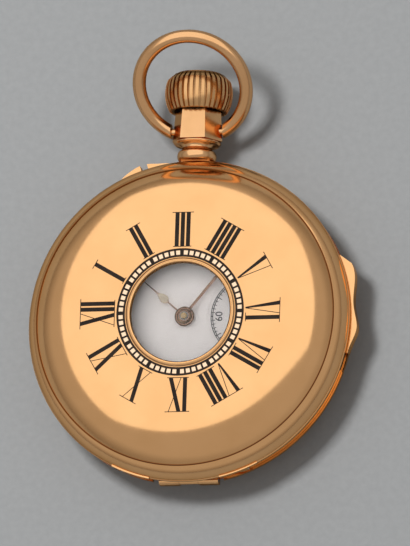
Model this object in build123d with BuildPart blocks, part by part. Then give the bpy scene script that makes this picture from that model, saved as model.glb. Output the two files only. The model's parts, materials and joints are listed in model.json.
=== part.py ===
"""Repeating half hunter pocket watch, in millimetres.

The origin is the middle of the flat on the back cover. +Z points out of the dial,
+Y points out of the pendant. The dial is turned a quarter turn: III is at the pendant.
"""
import math
import os

from build123d import *

os.makedirs("parts", exist_ok=True)

# Case, heights up from the flat of the back and radii from the centre line
back_depth = 5.6
case_gap = 0.1
band_height = 2.1
lid_depth = 7.1
case_radius = 27.0
lip_stand = 0.15
lip_height = 0.7
band_inset = 0.3
band_wall = 3.7
cover_wall = 0.6
rim_width = 2.0
rim_wall = 0.8
rim_swell = 0.32
shoulder_drop = 3.5
lid_flat_radius = 17.6
back_flat_radius = 14.0
groove_width = 0.22
groove_depth = 0.14

# Glass in the lid, and the raised bead round it
aperture_radius = 8.4
bead_width = 0.75
bead_rise = 0.24
glass_thickness = 0.55
glass_overlap = 1.75
glass_clearance = 0.05
seat_collar_wall = 0.6
retainer_height = 0.3
retainer_width = 1.15

# Enamel in the lid
enamel_depth = 0.12
track_inner_radius = 9.35
track_width = 1.45
track_cell_margin = 0.3
hour_bar_degrees = 3.6
minute_bar_degrees = 1.9
numeral_inner_radius = 11.05
numeral_height = 5.9
numeral_bar = 0.7
numeral_gap = 0.25
numeral_hair = 0.13
numeral_serif = 0.52
numeral_vee_width = 2.2

# Ledges of the case middle that carry the bezel and the cuvette
ledge_wall = 1.4
upper_ledge_height = 2.4
lower_ledge_height = 1.9
counterbore = 0.75
counterbore_depth = 1.2

# Lid hinge, below the dial edge opposite the pendant
lid_knuckle_radius = 0.8
lid_hinge_inset = 2.2
lid_hinge_half = 12.3
lid_knuckle_half = 10.8
lid_hinge_centre_half = 5.9
knuckle_gap = 0.05
knuckle_relief = 0.1
hinge_pin_radius = 0.3
pin_clearance = 0.03
wing_height = 0.8
wing_reach = 0.3
wing_stand = 0.25

# Back cover hinge and cuvette hinge, on the same side
back_knuckle_radius = 0.6
back_hinge_inset = 0.8
back_hinge_half = 5.0
back_hinge_centre_half = 1.6
back_notch_half = 6.0
back_notch_depth = 1.4
back_web_depth = 1.7
cuvette_knuckle_radius = 0.4
cuvette_hinge_half = 3.5
cuvette_hinge_centre_half = 1.1
cuvette_hinge_inset = 0.7
cuvette_hinge_rise = 0.25
cuvette_web_height = 0.2
cuvette_relief_half = 3.65
cuvette_relief_height = 0.3
cuvette_pin_radius = 0.18

# Cuvette, bezel and crystal
cuvette_thickness = 0.4
cuvette_edge_gap = 0.1
cuvette_rise = 1.75
cuvette_flat_radius = 15.0
cuvette_inset = 0.8
bezel_clearance = 0.04
bezel_skirt_wall = 0.45
bezel_skirt_height = 1.5
bezel_crown_height = 1.0
bezel_chamfer = 0.25
bezel_mouth_width = 0.6
crystal_thickness = 0.6
crystal_dome = 0.45

# Springs that lie on the case middle under the lid
case_spring_height = 0.6
case_spring_wall = 0.7
case_spring_gap = 0.25
catch_half_degrees = 30.0
catch_nose_degrees = 4.0
lift_start_degrees = -57.0
lift_end_degrees = -24.0

# Pendant, lengths along +Y from the case edge
collar_radius = 3.25
collar_length = 1.5
collar_gap = 0.25
waist_radius = 2.45
waist_length = 1.15
ledge_radius = 3.9
pendant_ledge_length = 0.65
hexagon_length = 6.3
hexagon_base_radius = 4.2
hexagon_top_radius = 3.75
tongue_width = 4.8
tongue_depth = 2.2
sleeve_radius = 1.75
seat_clearance = 0.02

# Bow
bow_radius = 9.0
bow_wire_radius = 1.1
bow_centre_offset = 7.9
bow_pivot_offset = 1.75
bow_gap_half = 4.4
bow_stud_radius = 0.6
bow_stud_inner = 2.7
bow_stud_outer = 5.2
bow_rest_degrees = 34.5
running_clearance = 0.04

# Crown, stem and press collar
crown_length = 6.1
crown_base_radius = 4.4
crown_radius = 5.2
crown_shoulder_radius = 4.85
crown_top_radius = 3.8
crown_shoulder_length = 1.0
crown_cap_rise = 0.2
crown_overlap = 1.25
crown_rib_height = 0.38
crown_rib_width = 0.52
crown_rib_count = 36
crown_middle_share = 0.5
winding_root_share = 0.78
crown_cavity_radius = 4.0
crown_cavity_margin = 1.1
press_travel = 0.8
stem_crown_depth = 2.6
stem_radius = 0.85
press_collar_radius = 1.45
press_collar_length = 0.9

# Band controls
slide_clearance = 0.05
slide_margin = 0.15
slide_start_degrees = 23.6
slide_end_degrees = -12.3
slide_stands = [0.5, 1.9, 1.85, 1.3, 0.95, 1.2, 1.55, 1.05, 0.7]
slide_tail_low_degrees = 7.0
slide_tail_high_degrees = 12.0
slide_travel_degrees = 24.0
slide_tail_inset = 0.3
slide_stop_degrees = 1.35
rack_width = 1.4
rack_end_degrees = 38.0
rack_teeth = 14
rack_tooth_depth = 0.35
guard_low_degrees = 98.0
guard_high_degrees = 122.0
guard_stands = [0.55, 0.85, 1.12, 1.5, 1.55, 1.3, 0.92, 0.38, 0.1]
nail_set_degrees = 108.2
nail_set_radius = 0.4
nail_set_notch_half = 0.6
nail_set_stand = 0.55
nail_set_head_length = 0.5

# Movement, heights from the case middle up and down
plate_radius = 21.5
plate_thickness = 1.2
plate_above_stem = 1.85
flange_thickness = 0.6
flange_clearance = 0.05
dial_seat_width = 1.2
train_height = 2.8
bridge_thickness = 0.85
bridge_gap = 0.2
bridge_radius = 21.0
post_radius = 1.1
screw_shank_radius = 0.42
screw_head_radius = 0.85
screw_head_height = 0.35
screw_bite = 0.6
case_screw_radius = 0.25
case_screw_head_radius = 0.36
case_screw_distance = 23.36
case_screw_degrees = [45.0, 165.0, 315.0]
post_distances = [18.3, 19.6, 12.2, 18.2, 18.7, 19.3, 16.55, 19.3]
post_degrees = [101.0, 165.0, 222.3, 58.5, 20.4, -10.4, -104.7, -36.6]
bridge_split_x = 4.95
bridge_split_y = 3.1
bridge_nose = (2.2, -2.2)
bridge_notch_inner = (-3.0, -3.4)
bridge_notch_outer = (-6.6, -9.7)
train_notch_inner = (11.3, -5.0)
train_notch_outer = (16.0, -8.2)
cock_table_radius = 2.3
cock_foot_radius = 2.3
cock_neck_width = 3.0
pallet_cock_radius = 1.3
jewel_radius = 0.7
jewel_thickness = 0.5
pivot_radius = 0.18
arbor_radius = 0.4
arbor_shake = 0.05

# Train wheels
wheel_thickness = 0.3
centre_level = 0.15
pinion_level = 0.1
third_level = 0.8
fourth_level = 1.5
escape_level = 0.4
balance_level = 1.3
barrel_level = 0.6
barrel_teeth_height = 0.5
barrel_module = 0.21
centre_module = 0.18
third_module = 0.16
fourth_module = 0.14
wheel_teeth = 80
third_teeth = 75
pinion_leaves = 10
escape_leaves = 8
barrel_direction_degrees = 165.0
fourth_distance = 11.0
escape_direction_degrees = -60.0
addendum_share = 0.75
dedendum_share = 1.15
tooth_pitch_share = 0.21
tooth_tip_share = 0.10
tooth_root_share = 0.27
spoke_width = 0.7
hub_radius = 1.15
wheel_rim = 0.75
barrel_wall = 0.4
barrel_floor = 0.25
barrel_height = 2.0
barrel_arbor_radius = 1.2
ratchet_arbor_radius = 0.9
mainspring_turns = 7
mainspring_strip = 0.13
mainspring_inner_radius = 1.5
escape_radius = 3.6
escape_teeth = 15
escape_rim = 0.55

# Balance, pallet fork and hairspring
balance_distance = 14.23
balance_direction_degrees = -71.57
balance_radius = 6.8
balance_rim = 0.65
balance_height = 0.5
balance_hub_radius = 0.9
roller_radius = 1.25
pallet_distance = 4.3
pallet_stand = 0.35
pallet_arm_width = 0.6
pallet_half_degrees = 28.0
fork_width = 0.5
fork_end_gap = 0.35
hairspring_turns = 9
hairspring_strip = 0.09
hairspring_inner_radius = 0.65
hairspring_outer_radius = 4.1
hairspring_height = 0.2
regulator_length = 4.6
regulator_width = 0.5
regulator_radius = 1.5
regulator_swing = 24.0
balance_screws = 12
balance_screw_radius = 0.2

# Winding wheels on the back of the barrel bridge
winding_gap = 0.05
winding_thickness = 0.4
winding_module = 0.26
crown_wheel_teeth = 32
ratchet_teeth = 50
winding_leaves = 14
winding_pinion_length = 1.2
winding_pinion_offset = 2.75
face_teeth = 24
face_tooth_height = 0.22
face_tooth_width = 0.3
winding_overlap = 0.12
crown_wheel_core_radius = 1.5
crown_wheel_ring_inner = 3.0
crown_wheel_ring_outer = 3.7
crown_cap_radius = 2.1
click_core_radius = 0.4
click_nose_degrees = 14.0
click_distance = 9.2
click_direction_degrees = 236.0
click_radius = 0.8
click_nose_gap = 0.12
click_width = 0.7
click_spring_wall = 0.25
click_spring_radius = 10.5
click_spring_degrees = 20.0
click_spring_steps = 8

# Striking work
gong_radius = 22.25
gong_wire_radius = 0.28
gong_start_degrees = 262.0
gong_ends_degrees = [120.0, 150.0]
gong_drops = [1.1, 2.1]
gong_block_half_degrees = 4.0
gong_block_width = 1.9
hammer_bore_radius = 0.5
hammer_hub_radius = 1.1
hammer_head_radius = 0.95
hammer_thickness = 0.7
hammer_arm_width = 1.1
hammer_head_distance = 20.4
hammer_head_degrees = [222.0, 243.0]
hammer_pivot_distances = [17.1, 16.3]
hammer_pivot_degrees = [212.0, 229.0]

# Motion work, dial and hands
motion_gap = 0.08
motion_module = 0.15
cannon_leaves = 12
minute_wheel_teeth = 36
minute_leaves = 10
hour_wheel_teeth = 40
motion_thickness = 0.25
motion_direction_degrees = -90.0
centre_arbor_radius = 0.5
cannon_radius = 0.75
hour_pipe_radius = 1.1
pipe_clearance = 0.05
minute_post_radius = 0.35
dial_gap = 0.9
dial_thickness = 0.6
dial_edge_gap = 0.1
dial_hole_radius = 1.3
seconds_dial_radius = 7.2
seconds_dial_depth = 0.08
print_depth = 0.04
print_line = 0.12
dial_track_width = 0.9
seconds_track_radius = 6.7
seconds_track_width = 0.4
seconds_mark_length = 0.6
seconds_mark_degrees = (30, 60, 120, 150, 210, 240, 300, 330)
print_degrees = 0.4
dial_numeral_height = 3.3
dial_numeral_radius = 15.6
dial_track_radius = 20.2
seconds_hand_rise = 0.15
seconds_hand_length = 5.6
seconds_tail_length = 2.0
seconds_hand_width = 0.32
seconds_boss_radius = 0.6
seconds_arbor_radius = 0.25
hour_hand_rise = 0.45
minute_hand_rise = 0.85
hand_thickness = 0.15
hour_boss_radius = 1.65
minute_boss_radius = 1.0
cannon_top_rise = 1.3
hour_hand_length = 9.3
minute_hand_length = 17.6
crystal_rise = 1.0
hand_stem_half = 0.2
hand_tip_half = 0.06
hand_swell_share = 0.55
minute_hand_half = 0.25
hour_stem_half = 0.11
hour_pear_start = 3.75
hour_pear_length = 2.45
hour_pear_half = 0.72
hour_pear_shares = [(0.1, 0.5), (0.25, 0.9), (0.4, 1.0), (0.6, 0.8), (0.8, 0.42)]
shown_hour = 1
shown_minute = 21.5

overrun = 1.0

# Places worked out from the sizes above
band_low = back_depth + case_gap
band_high = band_low + band_height
lid_edge = band_high + case_gap
lid_top = lid_edge + lid_depth
lid_under = lid_top - cover_wall
stem_height = (band_low + band_high) / 2
lip_radius = case_radius + lip_stand
band_radius = case_radius - band_inset
bore_radius = band_radius - band_wall
ledge_outer_radius = bore_radius + ledge_wall
ridge_radius = case_radius - rim_width
rim_inner_radius = case_radius - rim_wall
upper_ledge_top = band_high + upper_ledge_height
lower_ledge_low = band_low - lower_ledge_height
flange_low = upper_ledge_top - counterbore_depth
flange_radius = bore_radius + counterbore - flange_clearance
plate_low = stem_height + plate_above_stem
plate_high = plate_low + plate_thickness
bridge_high = plate_low - train_height
bridge_low = bridge_high - bridge_thickness
dial_low = plate_high + dial_gap
dial_high = dial_low + dial_thickness
dial_radius = plate_radius - dial_edge_gap
bezel_low = upper_ledge_top - bezel_skirt_height
bezel_inner_radius = ledge_outer_radius + bezel_clearance
bezel_outer_radius = bezel_inner_radius + bezel_skirt_wall
crystal_low = dial_high + crystal_rise
lid_hinge_y = -(case_radius - lid_hinge_inset)
lid_hinge_z = band_high
back_hinge_y = -(case_radius - back_hinge_inset)
back_hinge_z = back_depth - back_knuckle_radius - case_gap
cuvette_hinge_y = -(ledge_outer_radius - cuvette_hinge_inset)
cuvette_edge_high = lower_ledge_low - cuvette_edge_gap
cuvette_hinge_z = lower_ledge_low + cuvette_hinge_rise
pendant_start = lip_radius + collar_gap
waist_start = pendant_start + collar_length
ledge_start = waist_start + waist_length
hexagon_start = ledge_start + pendant_ledge_length
hexagon_end = hexagon_start + hexagon_length
bow_pivot_y = hexagon_start + bow_pivot_offset
crown_start = hexagon_end - crown_overlap
crown_end = crown_start + crown_length

centre_place = (0, 0)
third_distance = centre_module * (wheel_teeth + pinion_leaves) / 2
third_to_fourth = third_module * (third_teeth + pinion_leaves) / 2
fourth_place = (fourth_distance, 0)
third_x = (third_distance**2 - third_to_fourth**2 + fourth_distance**2) / (2 * fourth_distance)
third_place = (third_x, math.sqrt(third_distance**2 - third_x**2))
escape_distance = fourth_module * (wheel_teeth + escape_leaves) / 2
barrel_distance = barrel_module * (wheel_teeth + pinion_leaves) / 2


def polar(distance, degrees, centre=(0, 0)):
    """A point at a distance and direction from a centre."""
    turn = math.radians(degrees)
    return (centre[0] + distance * math.cos(turn), centre[1] + distance * math.sin(turn))


def bearing(start, end):
    """The direction from one point to another, in degrees."""
    return math.degrees(math.atan2(end[1] - start[1], end[0] - start[0]))


escape_place = polar(escape_distance, escape_direction_degrees, fourth_place)
barrel_place = polar(barrel_distance, barrel_direction_degrees)
balance_place = polar(balance_distance, balance_direction_degrees)
pallet_place = polar(pallet_distance, bearing(escape_place, balance_place), escape_place)
winding_distance = winding_module * (crown_wheel_teeth + ratchet_teeth) / 2
crown_wheel_place = (0, barrel_place[1] + math.sqrt(winding_distance**2 - barrel_place[0] ** 2))
click_place = polar(click_distance, click_direction_degrees, barrel_place)
motion_distance = motion_module * (cannon_leaves + minute_wheel_teeth) / 2
minute_wheel_place = polar(motion_distance, motion_direction_degrees)
hour_module = 2 * motion_distance / (minute_leaves + hour_wheel_teeth)
hammer_heads = [polar(hammer_head_distance, turn) for turn in hammer_head_degrees]
hammer_pivots = [
    polar(distance, turn) for distance, turn in zip(hammer_pivot_distances, hammer_pivot_degrees)
]

hammer_low = plate_low - max(gong_drops) - hammer_thickness / 2

stem_axis = Axis((0, 0, stem_height), (0, 1, 0))


def disc(radius, low, high, place=(0, 0), bore=0, mode=Mode.ADD):
    """A flat round plate with an optional bore, or a hole with Mode.SUBTRACT."""
    with BuildSketch(Plane.XY.offset(low)) as outline:
        with Locations(place):
            Circle(radius)
            if bore:
                Circle(bore, mode=Mode.SUBTRACT)
    extrude(outline.sketch, amount=high - low, mode=mode)


def slab(points, low, high, mode=Mode.ADD):
    """A flat plate with a straight-sided outline."""
    with BuildSketch(Plane.XY.offset(low)) as outline:
        Polygon(*points, align=None)
    extrude(outline.sketch, amount=high - low, mode=mode)


def bar(start, end, width, low, high, mode=Mode.ADD):
    """A flat bar from one point to another."""
    middle = ((start[0] + end[0]) / 2, (start[1] + end[1]) / 2)
    with BuildSketch(Plane.XY.offset(low)) as outline:
        with Locations(Location((middle[0], middle[1], 0), (0, 0, bearing(start, end)))):
            Rectangle(math.dist(start, end), width)
    extrude(outline.sketch, amount=high - low, mode=mode)


def block(low_corner, high_corner, mode=Mode.ADD):
    """A box between two corners."""
    with BuildSketch(Plane.XY.offset(low_corner[2])) as outline:
        with Locations(((low_corner[0] + high_corner[0]) / 2, (low_corner[1] + high_corner[1]) / 2)):
            Rectangle(high_corner[0] - low_corner[0], high_corner[1] - low_corner[1])
    extrude(outline.sketch, amount=high_corner[2] - low_corner[2], mode=mode)


def rod_along_x(radius, start, end, y, z, mode=Mode.ADD):
    """A round rod along X."""
    with BuildSketch(Plane.YZ.offset(start)) as outline:
        with Locations((y, z)):
            Circle(radius)
    extrude(outline.sketch, amount=end - start, mode=mode)


def rod_along_y(radius, start, end, mode=Mode.ADD):
    """A round rod on the stem axis."""
    with BuildSketch(Plane(origin=(0, start, stem_height), x_dir=(1, 0, 0), z_dir=(0, 1, 0))) as outline:
        Circle(radius)
    extrude(outline.sketch, amount=end - start, mode=mode)


def sector(inner, outer, low_degrees, high_degrees, low, high, mode=Mode.ADD):
    """A flat piece of a ring between two directions."""
    middle_degrees = (low_degrees + high_degrees) / 2
    with BuildSketch(Plane.XY.offset(low)) as outline:
        with BuildLine():
            ThreePointArc(
                polar(inner, low_degrees), polar(inner, middle_degrees), polar(inner, high_degrees)
            )
            Line(polar(inner, high_degrees), polar(outer, high_degrees))
            ThreePointArc(
                polar(outer, high_degrees), polar(outer, middle_degrees), polar(outer, low_degrees)
            )
            Line(polar(outer, low_degrees), polar(inner, low_degrees))
        make_face()
    extrude(outline.sketch, amount=high - low, mode=mode)


def tooth_outline(teeth, module, phase, place):
    """The outline of a toothed wheel, with one tooth centred on the phase direction."""
    pitch = 360 / teeth
    pitch_radius = module * teeth / 2
    tip = pitch_radius + addendum_share * module
    root = pitch_radius - dedendum_share * module
    corners = [
        (root, -tooth_root_share),
        (pitch_radius, -tooth_pitch_share),
        (tip, -tooth_tip_share),
        (tip, tooth_tip_share),
        (pitch_radius, tooth_pitch_share),
        (root, tooth_root_share),
    ]
    return [
        polar(radius, phase + pitch * (index + share), place)
        for index in range(teeth)
        for radius, share in corners
    ]


def gear(teeth, module, phase, place, low, high):
    """A toothed disc."""
    slab(tooth_outline(teeth, module, phase, place), low, high)


def spokes(inner, outer, count, width, place, low, high):
    """Cuts a wheel's plate away between its spokes."""
    gap_degrees = 360 / count
    with BuildSketch(Plane.XY.offset(low)) as outline:
        with Locations(place):
            Circle(outer)
            Circle(inner, mode=Mode.SUBTRACT)
            with PolarLocations(outer / 2, count, start_angle=gap_degrees / 2):
                Rectangle(outer, width, mode=Mode.SUBTRACT)
    extrude(outline.sketch, amount=high - low, mode=Mode.SUBTRACT)


def train_wheel(teeth, module, phase, place, low):
    """A spoked train wheel."""
    gear(teeth, module, phase, place, low, low + wheel_thickness)
    root = module * teeth / 2 - dedendum_share * module
    spokes(hub_radius, root - wheel_rim, 5, spoke_width, place, low, low + wheel_thickness)


def pivoted_arbor(place):
    """An arbor between the bridges and the main plate, with its two pivots."""
    disc(arbor_radius, bridge_high + arbor_shake, plate_low - arbor_shake, place)
    disc(pivot_radius, bridge_high - jewel_thickness, plate_low + jewel_thickness, place)


def spiral_strip(inner, outer, turns, strip, place, low, high, start_degrees=0):
    """A flat spiral spring of constant thickness, wound outwards."""
    steps_per_turn = 24
    steps = turns * steps_per_turn
    radii = [inner + (outer - inner) * step / steps for step in range(steps + 1)]
    turned = [start_degrees + 360 * step / steps_per_turn for step in range(steps + 1)]
    outside = [polar(radius + strip / 2, turn, place) for radius, turn in zip(radii, turned)]
    inside = [polar(radius - strip / 2, turn, place) for radius, turn in zip(radii, turned)]
    slab(outside + inside[::-1], low, high)


def keep(piece, name):
    """Labels a finished piece and writes its file."""
    piece.part.label = name
    export_step(piece.part, f"parts/{name}.step")


def glyph_shapes(numeral, height, scale):
    """The strokes of a Roman numeral that stands on the radial zero line."""
    stem = numeral_bar * scale
    hair = numeral_hair * scale
    serif = numeral_serif * scale
    vee = numeral_vee_width * scale
    gap = numeral_gap * scale
    widths = [stem if letter == "I" else vee for letter in numeral]
    left = -(sum(widths) + gap * (len(widths) - 1)) / 2
    start = left
    shapes = []
    for letter, width in zip(numeral, widths):
        right = left + width
        middle = (left + right) / 2
        if letter == "I":
            shapes.append([(left, 0), (right, 0), (right, height), (left, height)])
        if letter == "V":
            shapes.append(
                [(left, height), (middle - hair, 0), (middle + hair, 0), (left + stem, height)]
            )
            shapes.append(
                [(right - hair, height), (middle, 0), (middle + hair, 0), (right, height)]
            )
        if letter == "X":
            shapes.append([(left, height), (right - stem, 0), (right, 0), (left + stem, height)])
            shapes.append([(right - hair, height), (left, 0), (left + hair, 0), (right, height)])
        left = right + gap
    end = left - gap
    foot_start = start if numeral[0] != "V" else start + vee
    foot_end = end if numeral[-1] != "V" else end - vee
    shapes.append(
        [
            (start - serif, height - hair),
            (end + serif, height - hair),
            (end + serif, height),
            (start - serif, height),
        ]
    )
    if foot_end > foot_start:
        shapes.append(
            [
                (foot_start - serif / 2, 0),
                (foot_end + serif / 2, 0),
                (foot_end + serif / 2, hair),
                (foot_start - serif / 2, hair),
            ]
        )
    return shapes


hour_numerals_text = ["I", "II", "III", "IIII", "V", "VI", "VII", "VIII", "IX", "X", "XI", "XII"]


def hour_degrees(hour):
    """The direction of an hour on the quarter-turned dial."""
    return 180 - 30 * hour


def numeral_ring(inner_radius, height, scale, left_out=()):
    """All hour numerals, heads outwards, in the active sketch."""
    for hour, numeral in enumerate(hour_numerals_text, start=1):
        if hour in left_out:
            continue
        foot = polar(inner_radius, hour_degrees(hour))
        with Locations(Location((foot[0], foot[1], 0), (0, 0, hour_degrees(hour) - 90))):
            for shape in glyph_shapes(numeral, height, scale):
                Polygon(*shape, align=None)


def track(inner, outer, margin, wide_degrees, narrow_degrees, centre=(0, 0)):
    """A ring with sixty windows, its bars wider on the hours, in the active sketch."""
    with Locations(centre):
        Circle(outer)
        Circle(inner, mode=Mode.SUBTRACT)
    window_degrees = (30 - wide_degrees - 4 * narrow_degrees) / 5
    for hour in range(12):
        for cell in range(5):
            start = 30 * hour + wide_degrees / 2 + cell * (window_degrees + narrow_degrees)
            end = start + window_degrees
            Polygon(
                polar(inner + margin, start, centre),
                polar(outer - margin, start, centre),
                polar(outer - margin, end, centre),
                polar(inner + margin, end, centre),
                align=None,
                mode=Mode.SUBTRACT,
            )


def minute_track():
    """The black minute ring round the lid's glass, in the active sketch."""
    track(
        track_inner_radius,
        track_inner_radius + track_width,
        track_cell_margin,
        hour_bar_degrees,
        minute_bar_degrees,
    )


# Case middle: the band with its two ledges
with BuildPart() as case_middle:
    with BuildSketch(Plane.XZ):
        with BuildLine():
            Polyline(
                (bore_radius, lower_ledge_low),
                (ledge_outer_radius, lower_ledge_low),
                (ledge_outer_radius, band_low),
                (band_radius, band_low),
                (band_radius, band_high),
                (ledge_outer_radius, band_high),
                (ledge_outer_radius, upper_ledge_top),
                (bore_radius + counterbore, upper_ledge_top),
                (bore_radius + counterbore, flange_low),
                (bore_radius, flange_low),
                close=True,
            )
        make_face()
    revolve(axis=Axis.Z)
    # room for the lid's edge as it swings, and the knuckle between the lid's two
    block(
        (-lid_hinge_half - slide_margin, -case_radius - overrun, back_depth - slide_margin),
        (lid_hinge_half + slide_margin, lid_hinge_y - knuckle_gap, lid_edge + overrun),
        mode=Mode.SUBTRACT,
    )
    rod_along_x(
        lid_knuckle_radius + knuckle_relief,
        -lid_hinge_half - slide_margin,
        lid_hinge_half + slide_margin,
        lid_hinge_y,
        lid_hinge_z,
        mode=Mode.SUBTRACT,
    )
    rod_along_x(
        lid_knuckle_radius, -lid_hinge_centre_half, lid_hinge_centre_half, lid_hinge_y, lid_hinge_z
    )
    block(
        (-lid_hinge_centre_half, lid_hinge_y, band_low),
        (lid_hinge_centre_half, -bore_radius - counterbore - flange_clearance, lid_hinge_z),
    )
    rod_along_x(
        hinge_pin_radius,
        -lid_knuckle_half,
        lid_knuckle_half,
        lid_hinge_y,
        lid_hinge_z,
        mode=Mode.SUBTRACT,
    )
    for turn in case_screw_degrees:
        disc(
            case_screw_radius + pin_clearance,
            flange_low - screw_bite,
            flange_low,
            polar(case_screw_distance, turn),
            mode=Mode.SUBTRACT,
        )
    # lug and knuckle of the back cover's hinge
    block(
        (-back_hinge_centre_half, back_hinge_y, back_hinge_z - back_knuckle_radius),
        (back_hinge_centre_half, -bore_radius - counterbore, back_hinge_z + hinge_pin_radius),
    )
    rod_along_x(
        back_knuckle_radius,
        -back_hinge_centre_half,
        back_hinge_centre_half,
        back_hinge_y,
        back_hinge_z,
    )
    rod_along_x(
        hinge_pin_radius,
        -back_hinge_half,
        back_hinge_half,
        back_hinge_y,
        back_hinge_z,
        mode=Mode.SUBTRACT,
    )
    # room and knuckle for the cuvette's hinge
    block(
        (-cuvette_relief_half, -band_radius, lower_ledge_low - overrun),
        (cuvette_relief_half, -bore_radius + overrun, lower_ledge_low + cuvette_relief_height),
        mode=Mode.SUBTRACT,
    )
    rod_along_x(
        cuvette_knuckle_radius + knuckle_relief,
        -cuvette_relief_half,
        cuvette_relief_half,
        cuvette_hinge_y,
        cuvette_hinge_z,
        mode=Mode.SUBTRACT,
    )
    block(
        (
            -cuvette_hinge_centre_half,
            cuvette_hinge_y - cuvette_knuckle_radius,
            cuvette_hinge_z,
        ),
        (
            cuvette_hinge_centre_half,
            cuvette_hinge_y + cuvette_knuckle_radius,
            cuvette_hinge_z + 2 * cuvette_knuckle_radius,
        ),
    )
    rod_along_x(
        cuvette_knuckle_radius,
        -cuvette_hinge_centre_half,
        cuvette_hinge_centre_half,
        cuvette_hinge_y,
        cuvette_hinge_z,
    )
    rod_along_x(
        cuvette_pin_radius,
        -cuvette_hinge_half,
        cuvette_hinge_half,
        cuvette_hinge_y,
        cuvette_hinge_z,
        mode=Mode.SUBTRACT,
    )
    # seat of the pendant and way through for the stem
    block(
        (-tongue_width / 2 - seat_clearance, pendant_start - collar_gap - tongue_depth, band_low),
        (tongue_width / 2 + seat_clearance, pendant_start + overrun, band_high),
        mode=Mode.SUBTRACT,
    )
    rod_along_y(
        stem_radius + running_clearance,
        bore_radius - overrun,
        pendant_start,
        mode=Mode.SUBTRACT,
    )
    # slot for the tail of the repeater slide
    sector(
        bore_radius - overrun,
        band_radius + overrun,
        slide_tail_low_degrees - slide_travel_degrees - slide_stop_degrees,
        slide_tail_high_degrees + slide_stop_degrees,
        band_low + slide_tail_inset,
        band_high - slide_tail_inset,
        mode=Mode.SUBTRACT,
    )
    # guard round the nail-set pusher
    guard_step = (guard_high_degrees - guard_low_degrees) / (len(guard_stands) - 1)
    guard_points = [
        polar(band_radius + stand, guard_low_degrees + guard_step * index)
        for index, stand in enumerate(guard_stands)
    ]
    with BuildSketch(Plane.XY.offset(band_low + slide_margin)):
        with BuildLine():
            Line(polar(band_radius - overrun, guard_low_degrees), guard_points[0])
            Spline(*guard_points)
            Line(guard_points[-1], polar(band_radius - overrun, guard_high_degrees))
            ThreePointArc(
                polar(band_radius - overrun, guard_high_degrees),
                polar(band_radius - overrun, (guard_low_degrees + guard_high_degrees) / 2),
                polar(band_radius - overrun, guard_low_degrees),
            )
        make_face()
    extrude(amount=band_height - 2 * slide_margin)
    guard_outer_radius = band_radius + max(guard_stands) + overrun
    nail_set_plane = Plane(
        origin=(*polar(guard_outer_radius, nail_set_degrees), stem_height),
        x_dir=(0, 0, 1),
        z_dir=(*polar(-1, nail_set_degrees), 0),
    )
    with BuildSketch(nail_set_plane):
        Rectangle(band_height, 2 * nail_set_notch_half)
    extrude(amount=guard_outer_radius - band_radius, mode=Mode.SUBTRACT)
    with BuildSketch(nail_set_plane):
        Circle(nail_set_notch_half)
    extrude(amount=guard_outer_radius - band_radius + nail_set_head_length, mode=Mode.SUBTRACT)
    with BuildSketch(nail_set_plane):
        Circle(nail_set_radius + running_clearance)
    extrude(amount=guard_outer_radius - bore_radius + overrun, mode=Mode.SUBTRACT)
keep(case_middle, "case_middle")


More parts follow.
